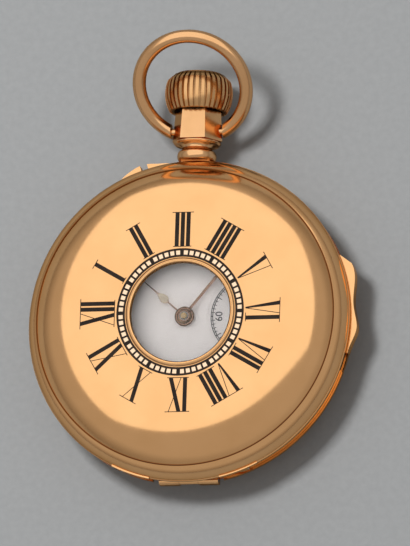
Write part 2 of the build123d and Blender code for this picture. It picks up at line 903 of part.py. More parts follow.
# Front lid with its raised bead, glass seat and the two outer hinge knuckles
glass_radius = aperture_radius + glass_overlap
collar_inner_radius = glass_radius + glass_clearance
glass_low = lid_under - glass_thickness
retainer_low = glass_low - retainer_height
ridge_height = lid_top - shoulder_drop
bead_outer_radius = aperture_radius + bead_width
shoulder_end = (ridge_radius, ridge_height)
shoulder_radius = ((ridge_radius - lid_flat_radius) ** 2 + shoulder_drop**2) / (2 * shoulder_drop)
wall_share = cover_wall / shoulder_radius
shoulder_inner_end = (
    ridge_radius - wall_share * (ridge_radius - lid_flat_radius),
    ridge_height - wall_share * (shoulder_radius - shoulder_drop),
)
with BuildPart() as half_hunter_lid:
    with BuildSketch(Plane.XZ):
        with BuildLine():
            Line((aperture_radius, lid_under), (aperture_radius, lid_top))
            ThreePointArc(
                (aperture_radius, lid_top),
                ((aperture_radius + bead_outer_radius) / 2, lid_top + bead_rise),
                (bead_outer_radius, lid_top),
            )
            Line((bead_outer_radius, lid_top), (lid_flat_radius, lid_top))
            TangentArc((lid_flat_radius, lid_top), shoulder_end, tangent=(1, 0))
            Polyline(
                shoulder_end,
                (ridge_radius + groove_width / 2, ridge_height - groove_depth),
                (ridge_radius + groove_width, ridge_height),
            )
            ThreePointArc(
                (ridge_radius + groove_width, ridge_height),
                (
                    (ridge_radius + groove_width + case_radius) / 2 + rim_swell,
                    (ridge_height + lid_edge + lip_height) / 2 + rim_swell,
                ),
                (case_radius, lid_edge + lip_height),
            )
            Polyline(
                (case_radius, lid_edge + lip_height),
                (lip_radius, lid_edge + lip_height - lip_stand),
                (lip_radius, lid_edge + lip_stand),
                (case_radius, lid_edge),
                (rim_inner_radius, lid_edge),
                (rim_inner_radius, lid_edge + lip_height),
                shoulder_inner_end,
            )
            TangentArc((lid_flat_radius, lid_under), shoulder_inner_end, tangent=(1, 0))
            Polyline(
                (lid_flat_radius, lid_under),
                (collar_inner_radius + seat_collar_wall, lid_under),
                (collar_inner_radius + seat_collar_wall, retainer_low),
                (collar_inner_radius, retainer_low),
                (collar_inner_radius, lid_under),
                (aperture_radius, lid_under),
            )
        make_face()
    revolve(axis=Axis.Z)
    wing_line_y = lid_hinge_y - lid_knuckle_radius
    for side in (-1, 1):
        near, far = sorted(
            (side * (lid_hinge_centre_half + knuckle_gap), side * lid_knuckle_half)
        )
        rod_along_x(lid_knuckle_radius, near, far, lid_hinge_y, lid_hinge_z)
        wing_inner_x = side * (lid_hinge_centre_half + knuckle_gap)
        slab(
            [
                (wing_inner_x, lid_hinge_y),
                (side * lid_hinge_half, lid_hinge_y + lid_knuckle_radius + wing_reach),
                (side * lid_hinge_half, wing_line_y),
                (wing_inner_x, -case_radius + wing_reach),
            ],
            lid_edge,
            lid_edge + wing_height,
        )
    rod_along_x(
        lid_knuckle_radius + knuckle_relief,
        -lid_hinge_centre_half - knuckle_gap,
        lid_hinge_centre_half + knuckle_gap,
        lid_hinge_y,
        lid_hinge_z,
        mode=Mode.SUBTRACT,
    )
    rod_along_x(
        hinge_pin_radius + pin_clearance,
        -lid_knuckle_half - overrun,
        lid_knuckle_half + overrun,
        lid_hinge_y,
        lid_hinge_z,
        mode=Mode.SUBTRACT,
    )
    disc(
        case_radius + wing_stand,
        lid_hinge_z - lid_knuckle_radius - overrun,
        lid_top + overrun,
        mode=Mode.INTERSECT,
    )
    with BuildSketch(Plane.XY.offset(lid_top - enamel_depth)):
        minute_track()
        numeral_ring(numeral_inner_radius, numeral_height, 1)
    extrude(amount=enamel_depth, mode=Mode.SUBTRACT)
keep(half_hunter_lid, "half_hunter_lid")

with BuildPart() as minute_ring:
    with BuildSketch(Plane.XY.offset(lid_top - enamel_depth)):
        minute_track()
    extrude(amount=enamel_depth)
keep(minute_ring, "minute_ring")

with BuildPart() as hour_numerals:
    with BuildSketch(Plane.XY.offset(lid_top - enamel_depth)):
        numeral_ring(numeral_inner_radius, numeral_height, 1)
    extrude(amount=enamel_depth)
keep(hour_numerals, "hour_numerals")

with BuildPart() as lid_glass:
    disc(glass_radius, glass_low, lid_under)
keep(lid_glass, "lid_glass")

with BuildPart() as lid_glass_retainer:
    disc(glass_radius, retainer_low, glass_low, bore=glass_radius - retainer_width)
keep(lid_glass_retainer, "lid_glass_retainer")

with BuildPart() as lid_hinge_pin:
    rod_along_x(hinge_pin_radius, -lid_knuckle_half, lid_knuckle_half, lid_hinge_y, lid_hinge_z)
keep(lid_hinge_pin, "lid_hinge_pin")


# Springs that throw the lid open and hold it shut
spring_inner_radius = bezel_outer_radius + case_spring_gap
spring_outer_radius = spring_inner_radius + case_spring_wall
with BuildPart() as lid_catch_spring:
    sector(
        spring_inner_radius,
        spring_outer_radius,
        90 - catch_half_degrees,
        90 + catch_half_degrees,
        band_high,
        band_high + case_spring_height,
    )
    sector(
        spring_outer_radius - overrun / 2,
        rim_inner_radius - case_gap,
        90 - catch_nose_degrees,
        90 + catch_nose_degrees,
        band_high,
        band_high + case_spring_height,
    )
keep(lid_catch_spring, "lid_catch_spring")

with BuildPart() as lid_lift_spring:
    sector(
        spring_inner_radius,
        spring_outer_radius,
        lift_start_degrees,
        lift_end_degrees,
        band_high,
        band_high + case_spring_height,
    )
keep(lid_lift_spring, "lid_lift_spring")


# Back cover
back_ridge_height = shoulder_drop - case_gap * 5
with BuildPart() as back_cover:
    with BuildSketch(Plane.XZ):
        with BuildLine():
            Line((0, 0), (back_flat_radius, 0))
            TangentArc((back_flat_radius, 0), (ridge_radius, back_ridge_height), tangent=(1, 0))
            Polyline(
                (ridge_radius, back_ridge_height),
                (ridge_radius + groove_width / 2, back_ridge_height + groove_depth),
                (ridge_radius + groove_width, back_ridge_height),
            )
            ThreePointArc(
                (ridge_radius + groove_width, back_ridge_height),
                (
                    (ridge_radius + groove_width + case_radius) / 2 + rim_swell / 2,
                    (back_ridge_height + back_depth) / 2 - rim_swell / 2,
                ),
                (case_radius, back_depth - lip_height),
            )
            Polyline(
                (case_radius, back_depth - lip_height),
                (case_radius, back_depth),
                (rim_inner_radius, back_depth),
                (rim_inner_radius, back_depth - lip_height),
                (ridge_radius - cover_wall, back_ridge_height + cover_wall),
            )
            TangentArc(
                (back_flat_radius, cover_wall),
                (ridge_radius - cover_wall, back_ridge_height + cover_wall),
                tangent=(1, 0),
            )
            Polyline((back_flat_radius, cover_wall), (0, cover_wall), (0, 0))
        make_face()
    revolve(axis=Axis.Z)
    block(
        (-back_notch_half, -case_radius - overrun, back_depth - back_notch_depth),
        (back_notch_half, -ridge_radius, back_depth + overrun),
        mode=Mode.SUBTRACT,
    )
    for side in (-1, 1):
        near, far = sorted(
            (side * (back_hinge_centre_half + knuckle_gap), side * back_hinge_half)
        )
        rod_along_x(back_knuckle_radius, near, far, back_hinge_y, back_hinge_z)
        block(
            (near, back_hinge_y - back_knuckle_radius, back_depth - back_web_depth),
            (far, back_hinge_y + back_knuckle_radius, back_hinge_z),
        )
    rod_along_x(
        hinge_pin_radius + pin_clearance,
        -back_hinge_half - overrun,
        back_hinge_half + overrun,
        back_hinge_y,
        back_hinge_z,
        mode=Mode.SUBTRACT,
    )
keep(back_cover, "back_cover")

with BuildPart() as back_hinge_pin:
    rod_along_x(hinge_pin_radius, -back_hinge_half, back_hinge_half, back_hinge_y, back_hinge_z)
keep(back_hinge_pin, "back_hinge_pin")


# Cuvette, the inner dust cover under the back
cuvette_radius = ledge_outer_radius - cuvette_inset
cuvette_flat_low = cuvette_edge_high - cuvette_rise
with BuildPart() as cuvette:
    with BuildSketch(Plane.XZ):
        with BuildLine():
            Line((0, cuvette_flat_low), (cuvette_flat_radius, cuvette_flat_low))
            ThreePointArc(
                (cuvette_flat_radius, cuvette_flat_low),
                (
                    (cuvette_flat_radius + cuvette_radius) / 2 + rim_swell,
                    (cuvette_flat_low + cuvette_edge_high - cuvette_thickness) / 2 - rim_swell,
                ),
                (cuvette_radius, cuvette_edge_high - cuvette_thickness),
            )
            Polyline(
                (cuvette_radius, cuvette_edge_high - cuvette_thickness),
                (cuvette_radius, cuvette_edge_high),
                (bore_radius, cuvette_edge_high),
            )
            ThreePointArc(
                (bore_radius, cuvette_edge_high),
                (
                    (cuvette_flat_radius + bore_radius) / 2 + rim_swell,
                    (cuvette_flat_low + cuvette_edge_high + cuvette_thickness) / 2 - rim_swell,
                ),
                (cuvette_flat_radius, cuvette_flat_low + cuvette_thickness),
            )
            Polyline(
                (cuvette_flat_radius, cuvette_flat_low + cuvette_thickness),
                (0, cuvette_flat_low + cuvette_thickness),
                (0, cuvette_flat_low),
            )
        make_face()
    revolve(axis=Axis.Z)
    for side in (-1, 1):
        near, far = sorted(
            (side * (cuvette_hinge_centre_half + knuckle_gap), side * cuvette_hinge_half)
        )
        rod_along_x(cuvette_knuckle_radius, near, far, cuvette_hinge_y, cuvette_hinge_z)
        block(
            (near, cuvette_hinge_y, cuvette_edge_high - cuvette_web_height),
            (far, cuvette_hinge_y + cuvette_knuckle_radius, cuvette_hinge_z),
        )
    rod_along_x(
        cuvette_pin_radius + pin_clearance,
        -cuvette_hinge_half - overrun,
        cuvette_hinge_half + overrun,
        cuvette_hinge_y,
        cuvette_hinge_z,
        mode=Mode.SUBTRACT,
    )
keep(cuvette, "cuvette")

with BuildPart() as cuvette_hinge_pin:
    rod_along_x(
        cuvette_pin_radius,
        -cuvette_hinge_half,
        cuvette_hinge_half,
        cuvette_hinge_y,
        cuvette_hinge_z,
    )
keep(cuvette_hinge_pin, "cuvette_hinge_pin")


# Inner bezel, snapped on the upper ledge, and its crystal
crystal_radius = dial_radius + bezel_clearance * 5
bezel_crown_top = upper_ledge_top + bezel_crown_height
bezel_mouth_top = crystal_low + crystal_thickness
with BuildPart() as bezel_ring:
    with BuildSketch(Plane.XZ):
        with BuildLine():
            Polyline(
                (bezel_inner_radius, bezel_low),
                (bezel_outer_radius, bezel_low),
                (bezel_outer_radius, upper_ledge_top + bezel_clearance),
                (ledge_outer_radius - bezel_chamfer, bezel_crown_top),
                (crystal_radius + bezel_mouth_width, bezel_mouth_top),
                (crystal_radius + bezel_clearance, bezel_mouth_top),
                (crystal_radius + bezel_clearance, crystal_low),
                (crystal_radius - bezel_mouth_width, crystal_low),
                (crystal_radius - bezel_mouth_width, dial_high + bezel_clearance),
                (crystal_radius + bezel_mouth_width, dial_high + bezel_clearance),
                (bezel_inner_radius, upper_ledge_top + bezel_clearance),
                close=True,
            )
        make_face()
    revolve(axis=Axis.Z)
keep(bezel_ring, "bezel_ring")

dome_top = crystal_low + crystal_dome + crystal_thickness
with BuildPart() as dial_crystal:
    with BuildSketch(Plane.XZ):
        with BuildLine():
            Line((0, crystal_low + crystal_dome), (0, dome_top))
            TangentArc((0, dome_top), (crystal_radius, crystal_low + crystal_thickness), tangent=(1, 0))
            Line((crystal_radius, crystal_low + crystal_thickness), (crystal_radius, crystal_low))
            TangentArc((0, crystal_low + crystal_dome), (crystal_radius, crystal_low), tangent=(1, 0))
        make_face()
    revolve(axis=Axis.Z)
keep(dial_crystal, "dial_crystal")


# Pendant: neck with its tongue in the band, and the sleeve that lines it
press_chamber_start = pendant_start + case_gap
press_collar_start = press_chamber_start + press_travel + case_gap
press_collar_end = press_collar_start + press_collar_length
sleeve_start = press_collar_end + case_gap
shoulder_relief = collar_gap
with BuildPart() as pendant_neck:
    with BuildSketch(Plane.XY.offset(stem_height)):
        with BuildLine():
            Polyline(
                (0, hexagon_start),
                (0, pendant_start),
                (collar_radius - shoulder_relief, pendant_start),
            )
            ThreePointArc(
                (collar_radius - shoulder_relief, pendant_start),
                (collar_radius, (pendant_start + waist_start) / 2),
                (collar_radius - shoulder_relief, waist_start),
            )
            ThreePointArc(
                (collar_radius - shoulder_relief, waist_start),
                (waist_radius, (waist_start + ledge_start) / 2),
                (ledge_radius - shoulder_relief, ledge_start),
            )
            Polyline(
                (ledge_radius - shoulder_relief, ledge_start),
                (ledge_radius, ledge_start + shoulder_relief),
                (ledge_radius, hexagon_start - shoulder_relief),
                (ledge_radius - shoulder_relief, hexagon_start),
                (0, hexagon_start),
            )
        make_face()
    revolve(axis=stem_axis)
    hexagon_plane = Plane(origin=(0, hexagon_start, stem_height), x_dir=(1, 0, 0), z_dir=(0, 1, 0))
    with BuildSketch(hexagon_plane):
        RegularPolygon(radius=hexagon_base_radius, side_count=6)
    with BuildSketch(hexagon_plane.offset(hexagon_length)):
        RegularPolygon(radius=hexagon_top_radius, side_count=6)
    loft()
    block(
        (-tongue_width / 2, pendant_start - collar_gap - tongue_depth, band_low),
        (tongue_width / 2, pendant_start, band_high),
    )
    rod_along_y(
        stem_radius + running_clearance,
        pendant_start - collar_gap - tongue_depth - overrun,
        press_chamber_start,
        mode=Mode.SUBTRACT,
    )
    rod_along_y(
        press_collar_radius + running_clearance,
        press_chamber_start,
        sleeve_start,
        mode=Mode.SUBTRACT,
    )
    rod_along_y(
        sleeve_radius + seat_clearance, sleeve_start, hexagon_end + overrun, mode=Mode.SUBTRACT
    )
    for near, far in ((-bow_stud_outer, -bow_stud_inner), (bow_stud_inner, bow_stud_outer)):
        rod_along_x(
            bow_stud_radius + running_clearance,
            near - case_gap * (near > 0),
            far + case_gap * (far < 0),
            bow_pivot_y,
            stem_height,
            mode=Mode.SUBTRACT,
        )
keep(pendant_neck, "pendant_neck")

with BuildPart() as pendant_sleeve:
    rod_along_y(sleeve_radius, sleeve_start, hexagon_end)
    rod_along_y(
        stem_radius + running_clearance,
        sleeve_start - overrun,
        hexagon_end + overrun,
        mode=Mode.SUBTRACT,
    )
keep(pendant_sleeve, "pendant_sleeve")

with BuildPart() as press_collar:
    rod_along_y(press_collar_radius, press_collar_start, press_collar_end)
    rod_along_y(
        stem_radius + running_clearance,
        press_collar_start - overrun,
        press_collar_end + overrun,
        mode=Mode.SUBTRACT,
    )
keep(press_collar, "press_collar")


# Bow, at its rest angle above the case
bow_turn = math.radians(bow_rest_degrees)
bow_direction = (0, math.cos(bow_turn), math.sin(bow_turn))
bow_normal = (0, -math.sin(bow_turn), math.cos(bow_turn))
bow_centre = (
    0,
    bow_pivot_y + bow_centre_offset * bow_direction[1],
    stem_height + bow_centre_offset * bow_direction[2],
)
with BuildPart() as bow:
    with BuildSketch(Plane(origin=bow_centre, x_dir=(1, 0, 0), z_dir=bow_direction)):
        with Locations((bow_radius, 0)):
            Circle(bow_wire_radius)
    revolve(axis=Axis(bow_centre, bow_normal))
    with BuildSketch(
        Plane(origin=(0, bow_pivot_y, stem_height), x_dir=(1, 0, 0), z_dir=bow_normal)
    ):
        Rectangle(2 * bow_gap_half, 2 * bow_gap_half)
    extrude(amount=2 * bow_wire_radius, both=True, mode=Mode.SUBTRACT)
    for near, far in ((-bow_stud_outer, -bow_stud_inner), (bow_stud_inner, bow_stud_outer)):
        rod_along_x(bow_stud_radius, near, far, bow_pivot_y, stem_height)
keep(bow, "bow")


# Crown with its ribs
crown_shoulder_start = crown_end - crown_shoulder_length
crown_middle = crown_start + crown_length * crown_middle_share


def crown_section(rise, inner):
    """Half of the crown's section, swelled by a rib's height, in the active sketch."""
    with BuildLine() as edge:
        Polyline((inner, crown_start), (crown_base_radius + rise, crown_start))
        ThreePointArc(
            (crown_base_radius + rise, crown_start),
            (crown_radius + rise, crown_middle),
            (crown_shoulder_radius + rise, crown_shoulder_start),
        )
        Polyline(
            (crown_shoulder_radius + rise, crown_shoulder_start),
            (crown_top_radius + rise, crown_end),
            (inner, crown_end),
            (inner, crown_start),
        )
    make_face(edge.line)


with BuildPart() as crown_rib:
    with BuildSketch(Plane.XY.offset(stem_height)) as rib_outline:
        crown_section(crown_rib_height, crown_top_radius)
    extrude(rib_outline.sketch, amount=crown_rib_width / 2, both=True)
    rod_along_y(crown_cavity_radius, crown_start - overrun, hexagon_end, mode=Mode.SUBTRACT)

with BuildPart() as crown:
    with BuildSketch(Plane.XY.offset(stem_height)) as crown_outline:
        crown_section(0, 0)
    revolve(crown_outline.sketch, axis=stem_axis)
    add(
        [
            crown_rib.part.rotate(stem_axis, 360 * index / crown_rib_count)
            for index in range(crown_rib_count)
        ]
    )
    with BuildSketch(
        Plane(origin=(0, crown_end, stem_height), x_dir=(1, 0, 0), z_dir=(0, 1, 0))
    ) as cap_outline:
        Circle(crown_top_radius)
    extrude(cap_outline.sketch, amount=crown_cap_rise)
    rod_along_y(
        crown_cavity_radius,
        crown_start - overrun,
        hexagon_end + crown_cavity_margin,
        mode=Mode.SUBTRACT,
    )
    rod_along_y(
        stem_radius + seat_clearance,
        hexagon_end,
        hexagon_end + crown_cavity_margin + stem_crown_depth,
        mode=Mode.SUBTRACT,
    )
keep(crown, "crown")

face_low = bridge_low - winding_gap
face_top = face_low + face_tooth_height
winding_tip_radius = stem_height - face_top + winding_overlap
pinion_start = crown_wheel_place[1] + winding_pinion_offset
pinion_end = pinion_start + winding_pinion_length
with BuildPart() as winding_stem:
    rod_along_y(
        stem_radius,
        pinion_start - seat_clearance,
        hexagon_end + crown_cavity_margin + stem_crown_depth - seat_clearance,
    )
keep(winding_stem, "winding_stem")

winding_step = 360 / winding_leaves
with BuildPart() as winding_pinion:
    with BuildSketch(
        Plane(origin=(0, pinion_start, stem_height), x_dir=(0, 0, -1), z_dir=(0, 1, 0))
    ) as leaf_outline:
        Polygon(
            *[
                polar(radius, winding_step * (index + share))
                for index in range(winding_leaves)
                for radius, share in (
                    (winding_tip_radius * winding_root_share, tooth_root_share),
                    (winding_tip_radius, 0.5 - tooth_tip_share),
                    (winding_tip_radius, 0.5 + tooth_tip_share),
                    (winding_tip_radius * winding_root_share, 1 - tooth_root_share),
                )
            ],
            align=None,
        )
        Circle(stem_radius + seat_clearance, mode=Mode.SUBTRACT)
    extrude(leaf_outline.sketch, amount=winding_pinion_length)
keep(winding_pinion, "winding_pinion")


# Band controls
with BuildPart() as nail_set_pusher:
    with BuildSketch(
        Plane(
            origin=(*polar(bore_radius + collar_gap * 2, nail_set_degrees), stem_height),
            x_dir=(0, 0, 1),
            z_dir=(*polar(1, nail_set_degrees), 0),
        )
    ) as pusher_outline:
        Circle(nail_set_radius)
    extrude(pusher_outline.sketch, amount=band_wall + nail_set_stand - collar_gap * 2)
keep(nail_set_pusher, "nail_set_pusher")

rack_outer_radius = bore_radius - slide_margin
slide_inner_radius = band_radius + slide_clearance
slide_step = (slide_end_degrees - slide_start_degrees) / (len(slide_stands) - 1)
with BuildPart() as repeater_slide:
    with BuildSketch(Plane.XY.offset(band_low + slide_margin)) as slide_outline:
        with BuildLine():
            slide_points = [
                polar(band_radius + stand, slide_start_degrees + slide_step * index)
                for index, stand in enumerate(slide_stands)
            ]
            Line(polar(slide_inner_radius, slide_start_degrees), slide_points[0])
            Line(slide_points[0], slide_points[1])
            Spline(*slide_points[1:])
            Line(slide_points[-1], polar(slide_inner_radius, slide_end_degrees))
            ThreePointArc(
                polar(slide_inner_radius, slide_end_degrees),
                polar(slide_inner_radius, (slide_start_degrees + slide_end_degrees) / 2),
                polar(slide_inner_radius, slide_start_degrees),
            )
        make_face()
    extrude(slide_outline.sketch, amount=band_height - 2 * slide_margin)
    sector(
        rack_outer_radius,
        slide_inner_radius + slide_margin,
        slide_tail_low_degrees,
        slide_tail_high_degrees,
        band_low + slide_tail_inset + slide_clearance,
        band_high - slide_tail_inset - slide_clearance,
    )
keep(repeater_slide, "repeater_slide")

rack_low = band_low + slide_tail_inset + slide_margin
rack_high = band_high - slide_tail_inset - slide_margin
rack_inner_radius = rack_outer_radius - rack_width
rack_start_degrees = slide_tail_low_degrees - slide_travel_degrees
rack_step = (rack_end_degrees - rack_start_degrees) / rack_teeth
with BuildPart() as repeater_rack:
    sector(
        rack_inner_radius + rack_tooth_depth,
        rack_outer_radius,
        rack_start_degrees,
        rack_end_degrees,
        rack_low,
        rack_high,
    )
    for index in range(rack_teeth):
        tooth_degrees = rack_start_degrees + rack_step * index
        slab(
            [
                polar(rack_inner_radius + 2 * rack_tooth_depth, tooth_degrees),
                polar(rack_inner_radius, tooth_degrees + rack_step * tooth_root_share),
                polar(rack_inner_radius + 2 * rack_tooth_depth, tooth_degrees + rack_step),
            ],
            rack_low,
            rack_high,
        )
keep(repeater_rack, "repeater_rack")


# Main plate
centre_posts = [polar(distance, turn) for distance, turn in zip(post_distances, post_degrees)]
barrel_posts = centre_posts[:3]
train_posts = centre_posts[3:6]
cock_post = centre_posts[6]
pallet_post = centre_posts[7]
jewelled_places = [third_place, escape_place, pallet_place, balance_place]
fourth_bore = seconds_arbor_radius + pin_clearance
with BuildPart() as main_plate:
    disc(plate_radius, plate_low, plate_high)
    disc(flange_radius, flange_low, flange_low + flange_thickness)
    disc(dial_radius, plate_high, dial_low, bore=dial_radius - dial_seat_width)
    disc(minute_post_radius, plate_high, dial_low - case_gap, minute_wheel_place)
    for place in hammer_pivots:
        disc(hammer_bore_radius, hammer_low - case_gap, plate_low, place)
    for place in centre_posts:
        disc(
            screw_shank_radius + pin_clearance,
            plate_low,
            plate_low + screw_bite,
            place,
            mode=Mode.SUBTRACT,
        )
    for place in [*jewelled_places, fourth_place]:
        disc(
            jewel_radius + seat_clearance,
            plate_low,
            plate_low + jewel_thickness,
            place,
            mode=Mode.SUBTRACT,
        )
    disc(seconds_arbor_radius + case_gap, plate_low, plate_high, fourth_place, mode=Mode.SUBTRACT)
    disc(centre_arbor_radius + running_clearance, plate_low, plate_high, mode=Mode.SUBTRACT)
    disc(
        arbor_radius + running_clearance,
        plate_low,
        plate_low + jewel_thickness + case_gap,
        barrel_place,
        mode=Mode.SUBTRACT,
    )
    for turn in case_screw_degrees:
        disc(
            case_screw_radius + pin_clearance,
            flange_low,
            flange_low + flange_thickness,
            polar(case_screw_distance, turn),
            mode=Mode.SUBTRACT,
        )
keep(main_plate, "main_plate")

with BuildPart() as case_screws:
    for turn in case_screw_degrees:
        disc(
            case_screw_radius,
            flange_low - screw_bite,
            flange_low + flange_thickness,
            polar(case_screw_distance, turn),
        )
        disc(
            case_screw_head_radius,
            flange_low + flange_thickness,
            flange_low + flange_thickness + screw_head_height,
            polar(case_screw_distance, turn),
        )
keep(case_screws, "case_screws")


def bridge_plate(points, posts, pivots):
    """A bridge cut from the movement's outline, on posts, with jewel seats."""
    with BuildSketch(Plane.XY.offset(bridge_low)) as outline:
        Circle(bridge_radius)
        Polygon(*points, align=None, mode=Mode.INTERSECT)
    extrude(outline.sketch, amount=bridge_thickness)
    finish_bridge(posts, pivots)


def finish_bridge(posts, pivots):
    """Posts, screw holes and jewel seats of a bridge or cock."""
    for place in posts:
        disc(post_radius, bridge_high, plate_low, place)
        disc(screw_shank_radius + pin_clearance, bridge_low, plate_low, place, mode=Mode.SUBTRACT)
    for place in pivots:
        disc(
            jewel_radius + seat_clearance,
            bridge_high - jewel_thickness,
            bridge_high,
            place,
            mode=Mode.SUBTRACT,
        )
        disc(arbor_radius, bridge_low, bridge_high, place, mode=Mode.SUBTRACT)


window_margin = bridge_gap
with BuildPart() as barrel_bridge:
    bridge_plate(
        [
            (bridge_split_x - bridge_gap, bridge_radius + overrun),
            (bridge_split_x - bridge_gap, bridge_split_y),
            bridge_nose,
            bridge_notch_inner,
            bridge_notch_outer,
            (-bridge_radius - overrun, bridge_notch_outer[1]),
            (-bridge_radius - overrun, bridge_radius + overrun),
        ],
        barrel_posts,
        [centre_place],
    )
    disc(
        ratchet_arbor_radius + running_clearance,
        bridge_low,
        bridge_high,
        barrel_place,
        mode=Mode.SUBTRACT,
    )
    disc(
        crown_wheel_ring_outer + case_gap,
        bridge_low,
        face_top + case_gap,
        crown_wheel_place,
        bore=crown_wheel_ring_inner - case_gap,
        mode=Mode.SUBTRACT,
    )
    block(
        (
            -winding_tip_radius - window_margin,
            pinion_start - press_travel - window_margin,
            bridge_low,
        ),
        (winding_tip_radius + window_margin, pinion_end + window_margin, bridge_high),
        mode=Mode.SUBTRACT,
    )
    disc(
        crown_wheel_core_radius,
        face_low - winding_thickness - winding_gap,
        bridge_low,
        crown_wheel_place,
    )
    disc(click_core_radius, face_low - winding_thickness - winding_gap, bridge_low, click_place)
keep(barrel_bridge, "barrel_bridge")

with BuildPart() as train_bridge:
    bridge_plate(
        [
            (bridge_split_x, bridge_radius + overrun),
            (bridge_split_x, train_notch_inner[1]),
            train_notch_inner,
            train_notch_outer,
            (bridge_radius + overrun, train_notch_outer[1]),
            (bridge_radius + overrun, bridge_radius + overrun),
        ],
        train_posts,
        [third_place, fourth_place, escape_place],
    )
keep(train_bridge, "train_bridge")

hairspring_low = bridge_high + winding_gap
with BuildPart() as balance_cock:
    disc(cock_table_radius, bridge_low, bridge_high, balance_place)
    disc(cock_foot_radius, bridge_low, bridge_high, cock_post)
    bar(balance_place, cock_post, cock_neck_width, bridge_low, bridge_high)
    disc(
        arbor_radius,
        bridge_high,
        hairspring_low + hairspring_height,
        polar(
            hairspring_outer_radius + hairspring_strip / 2 + arbor_radius,
            bearing(balance_place, cock_post),
            balance_place,
        ),
    )
    finish_bridge([cock_post], [balance_place])
keep(balance_cock, "balance_cock")

with BuildPart() as pallet_cock:
    disc(pallet_cock_radius, bridge_low, bridge_high, pallet_place)
    disc(pallet_cock_radius, bridge_low, bridge_high, pallet_post)
    bar(pallet_place, pallet_post, 2 * pallet_cock_radius, bridge_low, bridge_high)
    finish_bridge([pallet_post], [pallet_place])
keep(pallet_cock, "pallet_cock")

with BuildPart() as hairspring:
    spiral_strip(
        hairspring_inner_radius,
        hairspring_outer_radius,
        hairspring_turns,
        hairspring_strip,
        balance_place,
        hairspring_low,
        hairspring_low + hairspring_height,
        bearing(balance_place, cock_post),
    )
keep(hairspring, "hairspring")

with BuildPart() as regulator:
    disc(regulator_radius, bridge_low - winding_gap - wheel_thickness, bridge_low, balance_place)
    bar(
        balance_place,
        polar(regulator_length, bearing(balance_place, cock_post) - regulator_swing, balance_place),
        regulator_width,
        bridge_low - winding_gap - wheel_thickness,
        bridge_low,
    )
    disc(arbor_radius, bridge_low - overrun, bridge_low, balance_place, mode=Mode.SUBTRACT)
keep(regulator, "regulator")

with BuildPart() as jewels:
    for place in [*jewelled_places, centre_place, fourth_place]:
        disc(
            jewel_radius,
            bridge_high - jewel_thickness,
            bridge_high,
            place,
            bore=pivot_radius + pin_clearance,
        )
    for place in jewelled_places:
        disc(
            jewel_radius,
            plate_low,
            plate_low + jewel_thickness,
            place,
            bore=pivot_radius + pin_clearance,
        )
    disc(jewel_radius, plate_low, plate_low + jewel_thickness, fourth_place, bore=fourth_bore)
keep(jewels, "jewels")

with BuildPart() as bridge_screws:
    for place in centre_posts:
        disc(screw_head_radius, bridge_low - screw_head_height, bridge_low, place)
        disc(screw_shank_radius, bridge_low, plate_low + screw_bite, place)
    for place in (crown_wheel_place, click_place):
        disc(
            crown_cap_radius if place == crown_wheel_place else screw_head_radius,
            face_low - winding_thickness - winding_gap - screw_head_height,
            face_low - winding_thickness - winding_gap,
            place,
        )
keep(bridge_screws, "bridge_screws")


# Winding wheels and click
with BuildPart() as crown_wheel:
    gear(
        crown_wheel_teeth,
        winding_module,
        bearing(crown_wheel_place, barrel_place),
        crown_wheel_place,
        face_low - winding_thickness,
        face_low,
    )
    for index in range(face_teeth):
        turn = 90 + 360 * index / face_teeth
        bar(
            polar(crown_wheel_ring_inner, turn, crown_wheel_place),
            polar(crown_wheel_ring_outer, turn, crown_wheel_place),
            face_tooth_width,
            face_low,
            face_top,
        )
    disc(
        crown_wheel_core_radius + running_clearance,
        face_low - winding_thickness,
        face_low,
        crown_wheel_place,
        mode=Mode.SUBTRACT,
    )
keep(crown_wheel, "crown_wheel")

with BuildPart() as ratchet_wheel:
    gear(
        ratchet_teeth,
        winding_module,
        bearing(barrel_place, crown_wheel_place) + 180 / ratchet_teeth,
        barrel_place,
        face_low - winding_thickness,
        face_low,
    )
    disc(
        ratchet_arbor_radius + seat_clearance,
        face_low - winding_thickness,
        face_low,
        barrel_place,
        mode=Mode.SUBTRACT,
    )
keep(ratchet_wheel, "ratchet_wheel")

barrel_low = bridge_high + barrel_level
barrel_high = barrel_low + barrel_height
with BuildPart() as barrel_arbor:
    disc(
        crown_wheel_core_radius,
        face_low - winding_thickness - screw_head_height,
        face_low - winding_thickness,
        barrel_place,
    )
    disc(ratchet_arbor_radius, face_low - winding_thickness, barrel_low + barrel_floor, barrel_place)
    disc(
        barrel_arbor_radius,
        barrel_low + barrel_floor + arbor_shake,
        barrel_high,
        barrel_place,
    )
    disc(ratchet_arbor_radius, barrel_low, barrel_high, barrel_place)
    disc(arbor_radius, barrel_high, plate_low + jewel_thickness, barrel_place)
keep(barrel_arbor, "barrel_arbor")

ratchet_tip = winding_module * (ratchet_teeth / 2 + addendum_share)
click_nose = polar(
    ratchet_tip + click_nose_gap + click_width / 2,
    click_direction_degrees - click_nose_degrees,
    barrel_place,
)
with BuildPart() as click:
    disc(click_radius, face_low - winding_thickness, face_low, click_place)
    bar(click_place, click_nose, click_width, face_low - winding_thickness, face_low)
    disc(
        click_core_radius + running_clearance,
        face_low - winding_thickness,
        face_low,
        click_place,
        mode=Mode.SUBTRACT,
    )
keep(click, "click")

spring_turns = [
    click_direction_degrees - click_nose_degrees + click_spring_degrees * step / click_spring_steps
    for step in range(click_spring_steps + 1)
]
with BuildPart() as click_spring:
    slab(
        [polar(click_spring_radius, turn, barrel_place) for turn in spring_turns]
        + [
            polar(click_spring_radius + click_spring_wall, turn, barrel_place)
            for turn in spring_turns[::-1]
        ],
        face_low - winding_thickness,
        bridge_low,
    )
keep(click_spring, "click_spring")


